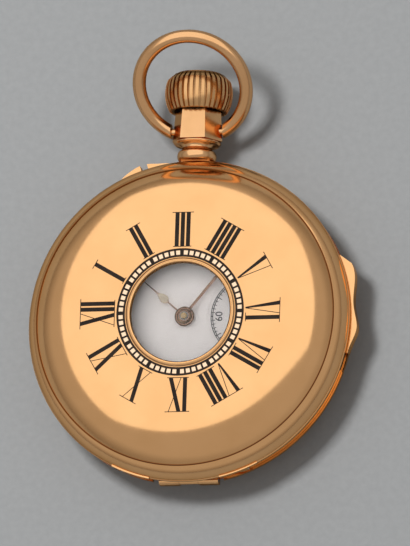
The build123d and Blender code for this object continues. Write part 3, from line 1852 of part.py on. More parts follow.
# Going train
drum_radius = barrel_module * (wheel_teeth / 2 - dedendum_share)
with BuildPart() as barrel_drum:
    gear(
        wheel_teeth,
        barrel_module,
        bearing(barrel_place, centre_place) + 180 / wheel_teeth,
        barrel_place,
        barrel_high - barrel_teeth_height,
        barrel_high,
    )
    disc(drum_radius, barrel_low, barrel_high, barrel_place)
    disc(
        drum_radius - barrel_wall,
        barrel_low + barrel_floor,
        barrel_high,
        barrel_place,
        mode=Mode.SUBTRACT,
    )
    disc(
        ratchet_arbor_radius + running_clearance,
        barrel_low,
        barrel_high,
        barrel_place,
        mode=Mode.SUBTRACT,
    )
keep(barrel_drum, "barrel_drum")

with BuildPart() as mainspring:
    spiral_strip(
        mainspring_inner_radius,
        drum_radius - barrel_wall - mainspring_strip,
        mainspring_turns,
        mainspring_strip,
        barrel_place,
        barrel_low + barrel_floor,
        barrel_high - case_gap,
    )
keep(mainspring, "mainspring")

hand_base = dial_high
minute_hand_low = hand_base + minute_hand_rise
hour_hand_low = hand_base + hour_hand_rise
seconds_hand_low = hand_base + seconds_hand_rise
with BuildPart() as centre_wheel:
    train_wheel(
        wheel_teeth,
        centre_module,
        bearing(centre_place, third_place),
        centre_place,
        bridge_high + centre_level,
    )
    gear(
        pinion_leaves,
        barrel_module,
        bearing(centre_place, barrel_place),
        centre_place,
        bridge_high + centre_level + wheel_thickness,
        plate_low - case_gap,
    )
    disc(pivot_radius, bridge_high - jewel_thickness, bridge_high + centre_level)
    disc(arbor_radius, bridge_high + arbor_shake, bridge_high + centre_level)
    disc(centre_arbor_radius, plate_low - case_gap, hand_base + cannon_top_rise)
keep(centre_wheel, "centre_wheel")

with BuildPart() as third_wheel:
    pivoted_arbor(third_place)
    train_wheel(
        third_teeth,
        third_module,
        bearing(third_place, fourth_place),
        third_place,
        bridge_high + third_level,
    )
    gear(
        pinion_leaves,
        centre_module,
        bearing(third_place, centre_place) + 180 / pinion_leaves,
        third_place,
        bridge_high + pinion_level,
        bridge_high + third_level,
    )
keep(third_wheel, "third_wheel")

with BuildPart() as fourth_wheel:
    disc(arbor_radius, bridge_high + arbor_shake, plate_low - arbor_shake, fourth_place)
    disc(pivot_radius, bridge_high - jewel_thickness, bridge_high + arbor_shake, fourth_place)
    disc(
        seconds_arbor_radius,
        plate_low - arbor_shake,
        seconds_hand_low + hand_thickness,
        fourth_place,
    )
    train_wheel(
        wheel_teeth,
        fourth_module,
        bearing(fourth_place, escape_place),
        fourth_place,
        bridge_high + fourth_level,
    )
    gear(
        pinion_leaves,
        third_module,
        bearing(fourth_place, third_place) + 180 / pinion_leaves,
        fourth_place,
        bridge_high + third_level - case_gap,
        bridge_high + fourth_level,
    )
keep(fourth_wheel, "fourth_wheel")

escape_low = bridge_high + escape_level
escape_step = 360 / escape_teeth
with BuildPart() as escape_wheel:
    pivoted_arbor(escape_place)
    slab(
        [
            polar(radius, escape_step * (index + share), escape_place)
            for index in range(escape_teeth)
            for radius, share in (
                (escape_radius - escape_rim, 0),
                (escape_radius, tooth_pitch_share),
                (escape_radius, tooth_pitch_share + tooth_tip_share),
                (escape_radius - escape_rim, tooth_pitch_share + tooth_root_share),
            )
        ],
        escape_low,
        escape_low + wheel_thickness,
    )
    spokes(
        hub_radius,
        escape_radius - 2 * escape_rim,
        4,
        spoke_width,
        escape_place,
        escape_low,
        escape_low + wheel_thickness,
    )
    gear(
        escape_leaves,
        fourth_module,
        bearing(escape_place, fourth_place) + 180 / escape_leaves,
        escape_place,
        bridge_high + fourth_level - case_gap,
        bridge_high + fourth_level + wheel_thickness + case_gap,
    )
keep(escape_wheel, "escape_wheel")

pallet_bearing = bearing(escape_place, balance_place)
fork_reach = math.dist(pallet_place, balance_place) - roller_radius - fork_end_gap
fork_end = polar(fork_reach, pallet_bearing, pallet_place)
fork_root = polar(fork_reach - 2 * fork_width, pallet_bearing, pallet_place)
pallet_tip_radius = escape_radius + pallet_stand + pallet_arm_width / 2
with BuildPart() as pallet_fork:
    pivoted_arbor(pallet_place)
    disc(fork_width, escape_low, escape_low + wheel_thickness, pallet_place)
    bar(pallet_place, fork_root, fork_width, escape_low, escape_low + wheel_thickness)
    for side in (-1, 1):
        bar(
            pallet_place,
            polar(pallet_tip_radius, pallet_bearing + side * pallet_half_degrees, escape_place),
            pallet_arm_width,
            escape_low,
            escape_low + wheel_thickness,
        )
        tine_shift = polar(fork_width * 2 / 3, pallet_bearing + side * 90)
        bar(
            fork_root,
            (fork_root[0] + tine_shift[0], fork_root[1] + tine_shift[1]),
            fork_width,
            escape_low,
            escape_low + wheel_thickness,
        )
        bar(
            (fork_root[0] + tine_shift[0], fork_root[1] + tine_shift[1]),
            (fork_end[0] + tine_shift[0], fork_end[1] + tine_shift[1]),
            fork_width * 2 / 3,
            escape_low,
            escape_low + wheel_thickness,
        )
keep(pallet_fork, "pallet_fork")

balance_low = bridge_high + balance_level
with BuildPart() as balance_wheel:
    pivoted_arbor(balance_place)
    disc(
        balance_radius,
        balance_low,
        balance_low + balance_height,
        balance_place,
        bore=balance_radius - balance_rim,
    )
    arm_start = polar(balance_radius - balance_rim / 2, 0, balance_place)
    arm_end = polar(balance_radius - balance_rim / 2, 180, balance_place)
    bar(arm_start, arm_end, spoke_width, balance_low, balance_low + wheel_thickness)
    disc(balance_hub_radius, balance_low, balance_low + balance_height, balance_place)
    for index in range(balance_screws):
        turn = 360 * (index + tooth_root_share) / balance_screws
        with BuildSketch(
            Plane(
                origin=(
                    *polar(balance_radius - balance_rim / 2, turn, balance_place),
                    balance_low + balance_height / 2,
                ),
                x_dir=(0, 0, 1),
                z_dir=(*polar(1, turn), 0),
            )
        ) as screw_outline:
            Circle(balance_screw_radius)
        extrude(screw_outline.sketch, amount=balance_rim)
    roller_low = escape_low + wheel_thickness + case_gap
    disc(roller_radius, roller_low, roller_low + wheel_thickness, balance_place)
    disc(
        pivot_radius,
        escape_low,
        roller_low,
        polar(roller_radius - 2 * pivot_radius, pallet_bearing + 180, balance_place),
    )
keep(balance_wheel, "balance_wheel")


# Striking work
with BuildPart() as gong_block:
    sector(
        gong_radius - gong_block_width / 2,
        gong_radius + gong_wire_radius * 2,
        gong_start_degrees - gong_block_half_degrees,
        gong_start_degrees + gong_block_half_degrees,
        plate_low - gong_drops[1] - 2 * gong_wire_radius,
        plate_low,
    )
keep(gong_block, "gong_block")

with BuildPart() as gong_wires:
    for drop, end in zip(gong_drops, gong_ends_degrees):
        turn = math.radians(end)
        wire_plane = Plane(
            origin=(0, 0, plate_low - drop),
            x_dir=(math.cos(turn), math.sin(turn), 0),
            z_dir=(math.sin(turn), -math.cos(turn), 0),
        )
        with BuildSketch(wire_plane) as wire_outline:
            with Locations((gong_radius, 0)):
                Circle(gong_wire_radius)
        revolve(
            wire_outline.sketch,
            axis=Axis.Z,
            revolution_arc=gong_start_degrees - gong_block_half_degrees - end,
        )
keep(gong_wires, "gong_wires")


def hammer(index):
    """One hammer on its post, level with its wire."""
    low = plate_low - gong_drops[1 - index] - hammer_thickness / 2
    pivot = hammer_pivots[index]
    head = hammer_heads[index]
    disc(hammer_hub_radius, low, low + hammer_thickness, pivot)
    disc(hammer_head_radius, low, low + hammer_thickness, head)
    bar(pivot, head, hammer_arm_width, low, low + hammer_thickness)
    disc(
        hammer_bore_radius + running_clearance,
        low,
        low + hammer_thickness,
        pivot,
        mode=Mode.SUBTRACT,
    )


with BuildPart() as hour_hammer:
    hammer(0)
keep(hour_hammer, "hour_hammer")

with BuildPart() as quarter_hammer:
    hammer(1)
keep(quarter_hammer, "quarter_hammer")


# Motion work under the dial
motion_low = plate_high + motion_gap
motion_high = motion_low + motion_thickness
hour_wheel_low = motion_high + motion_gap
with BuildPart() as cannon_pinion:
    disc(
        cannon_radius,
        motion_low,
        minute_hand_low + hand_thickness,
        bore=centre_arbor_radius + seat_clearance,
    )
    with BuildSketch(Plane.XY.offset(motion_low)) as cannon_outline:
        Polygon(
            *tooth_outline(cannon_leaves, motion_module, motion_direction_degrees, centre_place),
            align=None,
        )
        Circle(cannon_radius, mode=Mode.SUBTRACT)
    extrude(cannon_outline.sketch, amount=motion_thickness)
keep(cannon_pinion, "cannon_pinion")

with BuildPart() as minute_wheel:
    gear(
        minute_wheel_teeth,
        motion_module,
        motion_direction_degrees + 180 + 180 / minute_wheel_teeth,
        minute_wheel_place,
        motion_low,
        motion_high,
    )
    gear(
        minute_leaves,
        hour_module,
        motion_direction_degrees + 180,
        minute_wheel_place,
        motion_high,
        dial_low - 2 * motion_gap,
    )
    disc(
        minute_post_radius + running_clearance,
        motion_low,
        dial_low,
        minute_wheel_place,
        mode=Mode.SUBTRACT,
    )
keep(minute_wheel, "minute_wheel")

with BuildPart() as hour_wheel:
    gear(
        hour_wheel_teeth,
        hour_module,
        motion_direction_degrees + 180 / hour_wheel_teeth,
        centre_place,
        hour_wheel_low,
        hour_wheel_low + motion_thickness,
    )
    disc(hour_pipe_radius, hour_wheel_low, hour_hand_low + hand_thickness)
    disc(
        cannon_radius + pipe_clearance,
        motion_low,
        hour_hand_low + overrun,
        mode=Mode.SUBTRACT,
    )
keep(hour_wheel, "hour_wheel")


# Dial and its printing
with BuildPart() as dial:
    disc(dial_radius, dial_low, dial_high)
    disc(dial_hole_radius, dial_low, dial_high, mode=Mode.SUBTRACT)
    disc(seconds_arbor_radius + case_gap, dial_low, dial_high, fourth_place, mode=Mode.SUBTRACT)
    disc(
        seconds_dial_radius,
        dial_high - seconds_dial_depth,
        dial_high,
        fourth_place,
        mode=Mode.SUBTRACT,
    )
keep(dial, "dial")

sunk_high = dial_high - seconds_dial_depth
seconds_track_inner = seconds_track_radius - seconds_track_width
with BuildPart() as dial_printing:
    with BuildSketch(Plane.XY.offset(dial_high)) as numeral_outline:
        numeral_ring(
            dial_numeral_radius, dial_numeral_height, dial_numeral_height / numeral_height, (6,)
        )
        track(
            dial_track_radius - dial_track_width,
            dial_track_radius,
            print_line,
            2 * print_degrees,
            print_degrees,
        )
    extrude(numeral_outline.sketch, amount=print_depth)
    with BuildSketch(Plane.XY.offset(sunk_high)) as seconds_outline:
        track(
            seconds_track_inner,
            seconds_track_radius,
            print_line,
            3 * print_degrees,
            2 * print_degrees,
            fourth_place,
        )
        for degrees in seconds_mark_degrees:
            with Locations(polar(seconds_track_inner - seconds_mark_length / 2, degrees, fourth_place)):
                Rectangle(seconds_mark_length + print_line, print_line, rotation=degrees)
    extrude(seconds_outline.sketch, amount=print_depth)
keep(dial_printing, "dial_printing")


# Hands
minute_degrees = 180 - 6 * shown_minute
hour_hand_degrees = 180 - 30 * (shown_hour + shown_minute / 60)


def hand_blade(points, degrees, low, centre=(0, 0)):
    """A hand's outline, symmetrical about its length, turned to a direction."""
    sides = [(along, half) for along, half in points] + [
        (along, -half) for along, half in points[::-1]
    ]
    turned = [
        polar(math.hypot(along, half), degrees + math.degrees(math.atan2(half, along)), centre)
        for along, half in sides
    ]
    slab(turned, low, low + hand_thickness)


with BuildPart() as minute_hand:
    hand_blade(
        [
            (0, hand_stem_half),
            (minute_hand_length * hand_swell_share, minute_hand_half),
            (minute_hand_length, hand_tip_half),
        ],
        minute_degrees,
        minute_hand_low,
    )
    disc(minute_boss_radius, minute_hand_low, minute_hand_low + hand_thickness)
    disc(
        cannon_radius + seat_clearance,
        minute_hand_low,
        minute_hand_low + hand_thickness,
        mode=Mode.SUBTRACT,
    )
keep(minute_hand, "minute_hand")

with BuildPart() as hour_hand:
    hand_blade(
        [
            (0, hour_stem_half),
            (hour_pear_start, hour_stem_half),
            *[
                (
                    hour_pear_start + hour_pear_length * along_share,
                    hour_stem_half + (hour_pear_half - hour_stem_half) * half_share,
                )
                for along_share, half_share in hour_pear_shares
            ],
            (hour_pear_start + hour_pear_length, hour_stem_half),
            (hour_hand_length, hand_tip_half),
        ],
        hour_hand_degrees,
        hour_hand_low,
    )
    disc(hour_boss_radius, hour_hand_low, hour_hand_low + hand_thickness)
    disc(
        hour_pipe_radius + seat_clearance,
        hour_hand_low,
        hour_hand_low + hand_thickness,
        mode=Mode.SUBTRACT,
    )
keep(hour_hand, "hour_hand")

with BuildPart() as seconds_hand:
    hand_blade(
        [
            (-seconds_tail_length, seconds_hand_width),
            (0, seconds_hand_width / 2),
            (seconds_hand_length, hand_tip_half),
        ],
        0,
        seconds_hand_low,
        fourth_place,
    )
    disc(seconds_boss_radius, seconds_hand_low, seconds_hand_low + hand_thickness, fourth_place)
    disc(
        seconds_arbor_radius + seat_clearance,
        seconds_hand_low,
        seconds_hand_low + hand_thickness,
        fourth_place,
        mode=Mode.SUBTRACT,
    )
keep(seconds_hand, "seconds_hand")
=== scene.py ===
"""Looks, light and camera for the half hunter pocket watch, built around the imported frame."""
import json
import math

import bpy
from mathutils import Matrix, Vector


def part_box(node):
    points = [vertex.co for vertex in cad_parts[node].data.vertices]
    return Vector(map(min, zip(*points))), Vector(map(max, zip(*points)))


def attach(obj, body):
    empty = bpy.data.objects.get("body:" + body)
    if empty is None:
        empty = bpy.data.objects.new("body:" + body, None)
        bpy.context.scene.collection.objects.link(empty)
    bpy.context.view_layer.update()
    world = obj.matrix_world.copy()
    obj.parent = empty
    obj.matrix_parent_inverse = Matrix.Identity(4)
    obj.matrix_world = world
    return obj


MM = 0.001

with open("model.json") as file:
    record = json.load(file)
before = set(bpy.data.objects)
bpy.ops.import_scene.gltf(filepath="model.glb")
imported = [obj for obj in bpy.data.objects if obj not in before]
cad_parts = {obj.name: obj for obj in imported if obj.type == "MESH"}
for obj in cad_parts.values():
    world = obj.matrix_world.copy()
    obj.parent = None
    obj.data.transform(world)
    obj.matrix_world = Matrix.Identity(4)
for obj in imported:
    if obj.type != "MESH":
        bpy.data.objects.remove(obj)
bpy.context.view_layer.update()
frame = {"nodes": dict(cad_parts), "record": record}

# The photograph's view: an almost flat view from the lower right of the dial
VIEW_TILT = math.radians(19.0)
VIEW_TURN = math.radians(-44.9)
VIEW_ROLL = math.radians(1.85)
IMAGE_WIDTH_PX = 410
IMAGE_HEIGHT_PX = 546
SCALE_PX_PER_M = 6070.0
CASE_CENTRE_PX = (190.1, 322.0)
CASE_CENTRE_HEIGHT = 7.8 * MM
CAMERA_DISTANCE = 600 * MM
CAMERA_CLIP_START = 0.01

# Colours
GOLD_LIGHT = (0.94, 0.535, 0.245)
GOLD_DARK = (0.88, 0.49, 0.215)
GOLD_EDGE = (0.6, 0.5, 0.4)
PLAIN_EDGE = (1.0, 1.0, 1.0)
# Cream of the lid's minute cells, also used for the painted highlight on the hour hand's pear
CREAM = (0.95, 0.80, 0.62)
# Colour of the painted shade in creases
PAINTED_SHADE_COLOUR = (0.16, 0.075, 0.03)
BLACK_LIGHT = (0.022, 0.016, 0.012)
BLACK_DARK = (0.01, 0.007, 0.006)
GLASS_COLOUR = (0.985, 0.988, 0.99, 1.0)

# Texture: noise in waves per metre, and the noise values between which a tone changes
MOTTLE_RANGE = (0.3, 0.7)
METAL_GRAIN = 900.0
PLATE_GRAIN = 1600.0
TARNISH_STEP = 6
SCRATCH_STEP = 2
WEAR_DETAIL = 4.0
SCRATCH_DETAIL = 2.0
WEAR_RANGE = (0.35, 0.75)
SCRATCH_STRENGTH = 0.05
SCRATCH_DEPTH = 0.01 * MM
ENAMEL_CLOUD = 350.0
ENAMEL_WEAR = 2500.0
ENAMEL_WEAR_RANGE = (0.3, 0.8)
ENAMEL_PEEL = 1800.0
PEEL_STRENGTH = 0.1
PEEL_DEPTH = 0.02 * MM
ENAMEL_DEPTH_SHARE = 0.8
DIAL_ENAMEL_DEPTH = 4.5 * MM
GLASS_SMEAR = 260.0
GLASS_SMEAR_RANGE = (0.35, 0.8)
GLASS_SMOOTH = 0.02
GLASS_ROUGH = 0.07
GLASS_MIRROR_SHARE = 0.012
SLANT_POWER = 5.0

# Soft rings about the watch's centre line in mm: radius, half width, soft edge, strength
MINUTE_CELL_RINGS = ((10.08, 0.6, 0.1, 0.7),)
# Painted shade: dark rings in the lid's groove by the rim and round the bead
LID_PAINTED_SHADE_RINGS = (
    (25.12, 0.1, 0.05, 0.7),
    (10.48, 0.05, 0.03, 0.9),
    (9.67, 0.05, 0.03, 0.9),
    (9.2, 0.04, 0.04, 0.85),
    (8.8, 0.03, 0.05, 0.45),
    (8.42, 0.06, 0.06, 0.75),
)
# Painted shade: dark rings round the hands' bosses
HUB_PAINTED_SHADE_RINGS = ((1.62, 0.12, 0.05, 1.0), (1.12, 0.12, 0.05, 1.0), (0.62, 0.1, 0.05, 1.0))

# A painted highlight on the middle of the hour hand's pear
hand_low, hand_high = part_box("hour_hand")
PEAR_HIGHLIGHT_MIDDLE = Vector((hand_low.x, hand_high.y)).normalized() * 4.95 * MM
PEAR_HIGHLIGHT_RADIUS = 0.95 * MM
PEAR_HIGHLIGHT_SOFT = 0.3 * MM

# The root of the crown's grooves, which swells from the base to the middle and closes in to the shoulder
crown_low, crown_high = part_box("crown")
CROWN_AXIS_HEIGHT = (crown_low.z + crown_high.z) / 2
CROWN_MIDDLE = (crown_low.y + crown_high.y) / 2
CROWN_ROOT_RADIUS = (crown_high.z - crown_low.z) / 2 - 0.38 * MM
CROWN_ROOT_BEND = 0.085 / MM
# Painted shade: how far the crown's colour darkens towards that root, and how strongly
CROWN_SHADE_LOW = -2.0 * MM
CROWN_SHADE_HIGH = -0.02 * MM
CROWN_SHADE_SOFT = 0.1 * MM
CROWN_SHADE_STRENGTH = 0.8

# Numbers and marks on the seconds dial
SECONDS_NUMBERS = ("60", "15", "30", "45")
SECONDS_NUMBER_RADIUS = 5.25 * MM
SECONDS_NUMBER_SIZE = 1.7 * MM
SECONDS_NUMBER_RISE = 0.012 * MM
SECONDS_PER_TURN = 60
SECONDS_MARK_INNER = 6.0 * MM
SECONDS_MARK_OUTER = 6.27 * MM
SECONDS_MARK_HALF_WIDTH = 0.05 * MM
LONG_MARK_STEP = 5
BOX_FACES = ((3, 2, 1, 0), (4, 5, 6, 7), (0, 1, 5, 4), (1, 2, 6, 5), (2, 3, 7, 6), (3, 0, 4, 7))

# Floor, lamps and surroundings, in metres and watts
FLOOR_REACH = 1.5
FLOOR_LIGHT = (0.272, 0.282, 0.29)
FLOOR_DARK = (0.252, 0.262, 0.27)
FLOOR_ROUGHNESS = 0.9
LAMP_DISTANCE = 0.7
PANEL_WIDTH = 1.62
PANEL_HEIGHT = 1.42
PANEL_SHIFT_RIGHT = 0.39
PANEL_SHIFT_UP = 0.29
PANEL_RADIANCE = 0.69
PANEL_COLOUR = (1.0, 0.985, 0.96)
SIDE_LAMP_WAY = Vector((-0.19, 0.19, 0.96)).normalized()
SIDE_LAMP_COLOUR = (1.0, 0.985, 0.965)
SHADOW_LAMP_SIDE = 0.15
SHADOW_LAMP_POWER = 4.6
DIAL_LAMP_SIDE = 0.8
DIAL_LAMP_POWER = 5.0
DIAL_SIDE = ("dial", "dial_printing", "hour_hand", "minute_hand", "seconds_hand", "cannon_pinion")
SKY_RANGE = (0.0, 0.35)
SKY_LOW = (0.24, 0.225, 0.21)
SKY_HIGH = (0.47, 0.46, 0.45)


def node_tree(name):
    """A new material with an empty node tree and its output."""
    material = bpy.data.materials.new(name)
    material.use_nodes = True
    tree = material.node_tree
    tree.nodes.clear()
    output = tree.nodes.new("ShaderNodeOutputMaterial")
    return material, tree, output


def feed(tree, socket, value):
    """Sets an input, or links it when the value is a socket."""
    if isinstance(value, bpy.types.NodeSocket):
        tree.links.new(value, socket)
    else:
        socket.default_value = value


def add(tree, kind, **values):
    """A node with its named inputs fed."""
    node = tree.nodes.new(kind)
    for name, value in values.items():
        feed(tree, node.inputs[name.replace("_", " ")], value)
    return node


def math_node(tree, operation, first, second=0.0, clamp=False):
    """The result of one operation on two values or sockets."""
    node = tree.nodes.new("ShaderNodeMath")
    node.operation = operation
    node.use_clamp = clamp
    feed(tree, node.inputs[0], first)
    feed(tree, node.inputs[1], second)
    return node.outputs[0]


def length_of(tree, first, second):
    """The length of two sides at right angles."""
    squares = [math_node(tree, "MULTIPLY", side, side) for side in (first, second)]
    return math_node(tree, "SQRT", math_node(tree, "ADD", *squares))


def place(tree):
    """The point on the surface, in the frame's own metres."""
    return tree.nodes.new("ShaderNodeTexCoord").outputs["Object"]


def place_parts(tree):
    """The point's X, Y and Z sockets by name."""
    return add(tree, "ShaderNodeSeparateXYZ", Vector=place(tree)).outputs


def noise(tree, scale, detail=3.0):
    """Soft mottling at a scale in waves per metre."""
    return add(tree, "ShaderNodeTexNoise", Scale=scale, Detail=detail, Vector=place(tree)).outputs["Fac"]


def ramp(tree, factor, places, first, second):
    """A colour that changes from a first to a second between two places."""
    node = add(tree, "ShaderNodeValToRGB", Fac=factor)
    for element, position, colour in zip(node.color_ramp.elements, places, (first, second)):
        element.position = position
        element.color = (*colour, 1.0)
    return node.outputs["Color"]


def grey(value):
    return (value, value, value)


def bump(tree, height, strength, distance):
    """A bump of a height in metres."""
    return add(tree, "ShaderNodeBump", Strength=strength, Distance=distance, Height=height).outputs["Normal"]


def soft_band(tree, value, low, high, soft):
    """1 where a value lies between two lengths, fading to 0 over a soft edge."""
    rise = math_node(tree, "DIVIDE", math_node(tree, "SUBTRACT", value, low - soft), soft)
    fall = math_node(tree, "DIVIDE", math_node(tree, "SUBTRACT", high + soft, value), soft)
    return math_node(tree, "MINIMUM", rise, fall, clamp=True)


def mixed(tree, factor, first, second):
    """A colour socket mixed towards a plain colour."""
    return add(tree, "ShaderNodeMixRGB", Fac=factor, Color1=first, Color2=(*second, 1.0)).outputs["Color"]


def metal(name, light, dark, smooth, rough, grain=METAL_GRAIN, painted_shade=None, pale=None, edge=PLAIN_EDGE):
    """A polished metal with faint tarnish, fine wear and soft scratches, painted shade in its creases where
    asked, and cream mixed in where asked.
    """
    material, tree, output = node_tree(name)
    colour = ramp(tree, noise(tree, grain / TARNISH_STEP), MOTTLE_RANGE, dark, light)
    wear = noise(tree, grain, WEAR_DETAIL)
    # Cream mixed in where asked: the lid's pale cells, the hour hand's painted highlight
    if pale:
        colour = mixed(tree, pale(tree), colour, CREAM)
    # Painted shade darkened into the creases
    if painted_shade:
        colour = mixed(tree, painted_shade(tree), colour, PAINTED_SHADE_COLOUR)
    scratch = noise(tree, grain * SCRATCH_STEP, SCRATCH_DETAIL)
    shader = add(
        tree,
        "ShaderNodeBsdfPrincipled",
        Base_Color=colour,
        Metallic=1.0,
        Roughness=ramp(tree, wear, WEAR_RANGE, grey(smooth), grey(rough)),
        Specular_Tint=(*edge, 1.0),
        Normal=bump(tree, scratch, SCRATCH_STRENGTH, SCRATCH_DEPTH),
    )
    tree.links.new(shader.outputs["BSDF"], output.inputs["Surface"])
    return material


def enamel(name, light, dark, smooth, rough, specular=0.5, depth=0.0):
    """Fired enamel or lacquer: glossy, with a faint orange-peel surface and light inside it to a depth."""
    material, tree, output = node_tree(name)
    wear = noise(tree, ENAMEL_WEAR)
    shader = add(
        tree,
        "ShaderNodeBsdfPrincipled",
        Base_Color=ramp(tree, noise(tree, ENAMEL_CLOUD), MOTTLE_RANGE, dark, light),
        Roughness=ramp(tree, wear, ENAMEL_WEAR_RANGE, grey(smooth), grey(rough)),
        Specular_IOR_Level=specular,
        Normal=bump(tree, noise(tree, ENAMEL_PEEL), PEEL_STRENGTH, PEEL_DEPTH),
    )
    if depth:
        shader.subsurface_method = "BURLEY"
        shader.inputs["Subsurface Weight"].default_value = ENAMEL_DEPTH_SHARE
        shader.inputs["Subsurface Radius"].default_value = grey(1.0)
        shader.inputs["Subsurface Scale"].default_value = depth
    tree.links.new(shader.outputs["BSDF"], output.inputs["Surface"])
    return material


def clear_glass(name):
    """Thin clear glass: it lets light straight through and mirrors a share of it, more at a slant."""
    material, tree, output = node_tree(name)
    smear = noise(tree, GLASS_SMEAR)
    roughness = ramp(tree, smear, GLASS_SMEAR_RANGE, grey(GLASS_SMOOTH), grey(GLASS_ROUGH))
    through = add(tree, "ShaderNodeBsdfTransparent", Color=GLASS_COLOUR)
    shine = add(tree, "ShaderNodeBsdfGlossy", Color=(1.0, 1.0, 1.0, 1.0), Roughness=roughness)
    slant = add(tree, "ShaderNodeLayerWeight", Blend=0.5).outputs["Facing"]
    slanted = math_node(
        tree, "MULTIPLY", math_node(tree, "POWER", slant, SLANT_POWER), 1.0 - GLASS_MIRROR_SHARE
    )
    mix = add(tree, "ShaderNodeMixShader", Fac=math_node(tree, "ADD", slanted, GLASS_MIRROR_SHARE))
    tree.links.new(through.outputs["BSDF"], mix.inputs[1])
    tree.links.new(shine.outputs["BSDF"], mix.inputs[2])
    tree.links.new(mix.outputs["Shader"], output.inputs["Surface"])
    return material


def rings(tree, bands):
    """The strongest of several soft rings about the watch's centre line."""
    parts = place_parts(tree)
    radius = length_of(tree, parts["X"], parts["Y"])
    total = 0.0
    for at, half, soft, strength in bands:
        band = soft_band(tree, radius, (at - half) * MM, (at + half) * MM, soft * MM)
        total = math_node(tree, "MAXIMUM", total, math_node(tree, "MULTIPLY", band, strength))
    return total


def minute_cells(tree):
    """The paler squares that show between the bars of the minute ring."""
    return rings(tree, MINUTE_CELL_RINGS)


def lid_painted_shade(tree):
    """Painted shade in the groove by the rim and round the bead."""
    return rings(tree, LID_PAINTED_SHADE_RINGS)


def hub_painted_shade(tree):
    """Painted shade: dark rings round the bosses of the two hands."""
    return rings(tree, HUB_PAINTED_SHADE_RINGS)


def pear_painted_highlight(tree):
    """A painted highlight on the middle of the hour hand's pear, so it reads brighter than the blade."""
    parts = place_parts(tree)
    away = length_of(
        tree,
        math_node(tree, "SUBTRACT", parts["X"], PEAR_HIGHLIGHT_MIDDLE.x),
        math_node(tree, "SUBTRACT", parts["Y"], PEAR_HIGHLIGHT_MIDDLE.y),
    )
    return soft_band(tree, away, -MM, PEAR_HIGHLIGHT_RADIUS, PEAR_HIGHLIGHT_SOFT)


def crown_painted_shade(tree):
    """Painted shade between the crown's ribs, by the distance from the crown's own axis."""
    parts = place_parts(tree)
    height = math_node(tree, "SUBTRACT", parts["Z"], CROWN_AXIS_HEIGHT)
    radius = length_of(tree, parts["X"], height)
    along = math_node(tree, "SUBTRACT", parts["Y"], CROWN_MIDDLE)
    swell = math_node(tree, "MULTIPLY", math_node(tree, "MULTIPLY", along, along), CROWN_ROOT_BEND)
    stand = math_node(tree, "SUBTRACT", radius, math_node(tree, "SUBTRACT", CROWN_ROOT_RADIUS, swell))
    groove = soft_band(tree, stand, CROWN_SHADE_LOW, CROWN_SHADE_HIGH, CROWN_SHADE_SOFT)
    return math_node(tree, "MULTIPLY", groove, CROWN_SHADE_STRENGTH)


# The lid, crown and hand golds darken their creases with painted shade; the hand gold also gets a painted
# highlight on its pear
METALS = {
    "case_gold": dict(light=GOLD_LIGHT, dark=GOLD_DARK, smooth=0.14, rough=0.2, edge=GOLD_EDGE),
    "lid_gold": dict(
        light=GOLD_LIGHT,
        dark=GOLD_DARK,
        smooth=0.13,
        rough=0.17,
        painted_shade=lid_painted_shade,
        pale=minute_cells,
        edge=GOLD_EDGE,
    ),
    "pendant_gold": dict(
        light=(0.85, 0.49, 0.24), dark=(0.76, 0.425, 0.195), smooth=0.16, rough=0.24, edge=GOLD_EDGE
    ),
    "crown_gold": dict(
        light=(0.8, 0.47, 0.22),
        dark=(0.68, 0.38, 0.165),
        smooth=0.2,
        rough=0.3,
        painted_shade=crown_painted_shade,
        edge=GOLD_EDGE,
    ),
    "steel": dict(light=(0.6, 0.57, 0.55), dark=(0.44, 0.42, 0.41), smooth=0.22, rough=0.4),
    "blued_steel": dict(light=(0.06, 0.1, 0.36), dark=(0.04, 0.07, 0.24), smooth=0.18, rough=0.32),
    "gilt_plate": dict(
        light=(0.86, 0.7, 0.4), dark=(0.74, 0.58, 0.32), smooth=0.3, rough=0.45, grain=PLATE_GRAIN
    ),
    "wheel_brass": dict(light=(0.86, 0.62, 0.34), dark=(0.74, 0.5, 0.27), smooth=0.22, rough=0.36),
    "hand_gold": dict(
        light=(0.8, 0.5, 0.36),
        dark=(0.52, 0.31, 0.22),
        smooth=0.16,
        rough=0.3,
        painted_shade=hub_painted_shade,
        pale=pear_painted_highlight,
    ),
}
ENAMELS = {
    "numeral_enamel": dict(light=BLACK_LIGHT, dark=BLACK_DARK, smooth=0.35, rough=0.55, specular=0.12),
    "ring_enamel": dict(light=BLACK_LIGHT, dark=BLACK_DARK, smooth=0.35, rough=0.55, specular=0.12),
    "dial_enamel": dict(
        light=(0.9, 0.835, 0.81),
        dark=(0.85, 0.785, 0.76),
        smooth=0.2,
        rough=0.35,
        specular=0.3,
        depth=DIAL_ENAMEL_DEPTH,
    ),
    "dial_print": dict(
        light=(0.03, 0.03, 0.035), dark=(0.015, 0.015, 0.02), smooth=0.4, rough=0.6, specular=0.15
    ),
    "ruby": dict(light=(0.5, 0.02, 0.09), dark=(0.34, 0.01, 0.05), smooth=0.08, rough=0.16),
}
materials = {name: metal(name, **look) for name, look in METALS.items()}
materials.update({name: enamel(name, **look) for name, look in ENAMELS.items()})
materials["glass"] = clear_glass("glass")

slots = {item["node"]: item["material_slot"] for item in frame["record"]["subparts"]}
for name, piece in frame["nodes"].items():
    piece.data.materials.clear()
    piece.data.materials.append(materials[slots[name]])

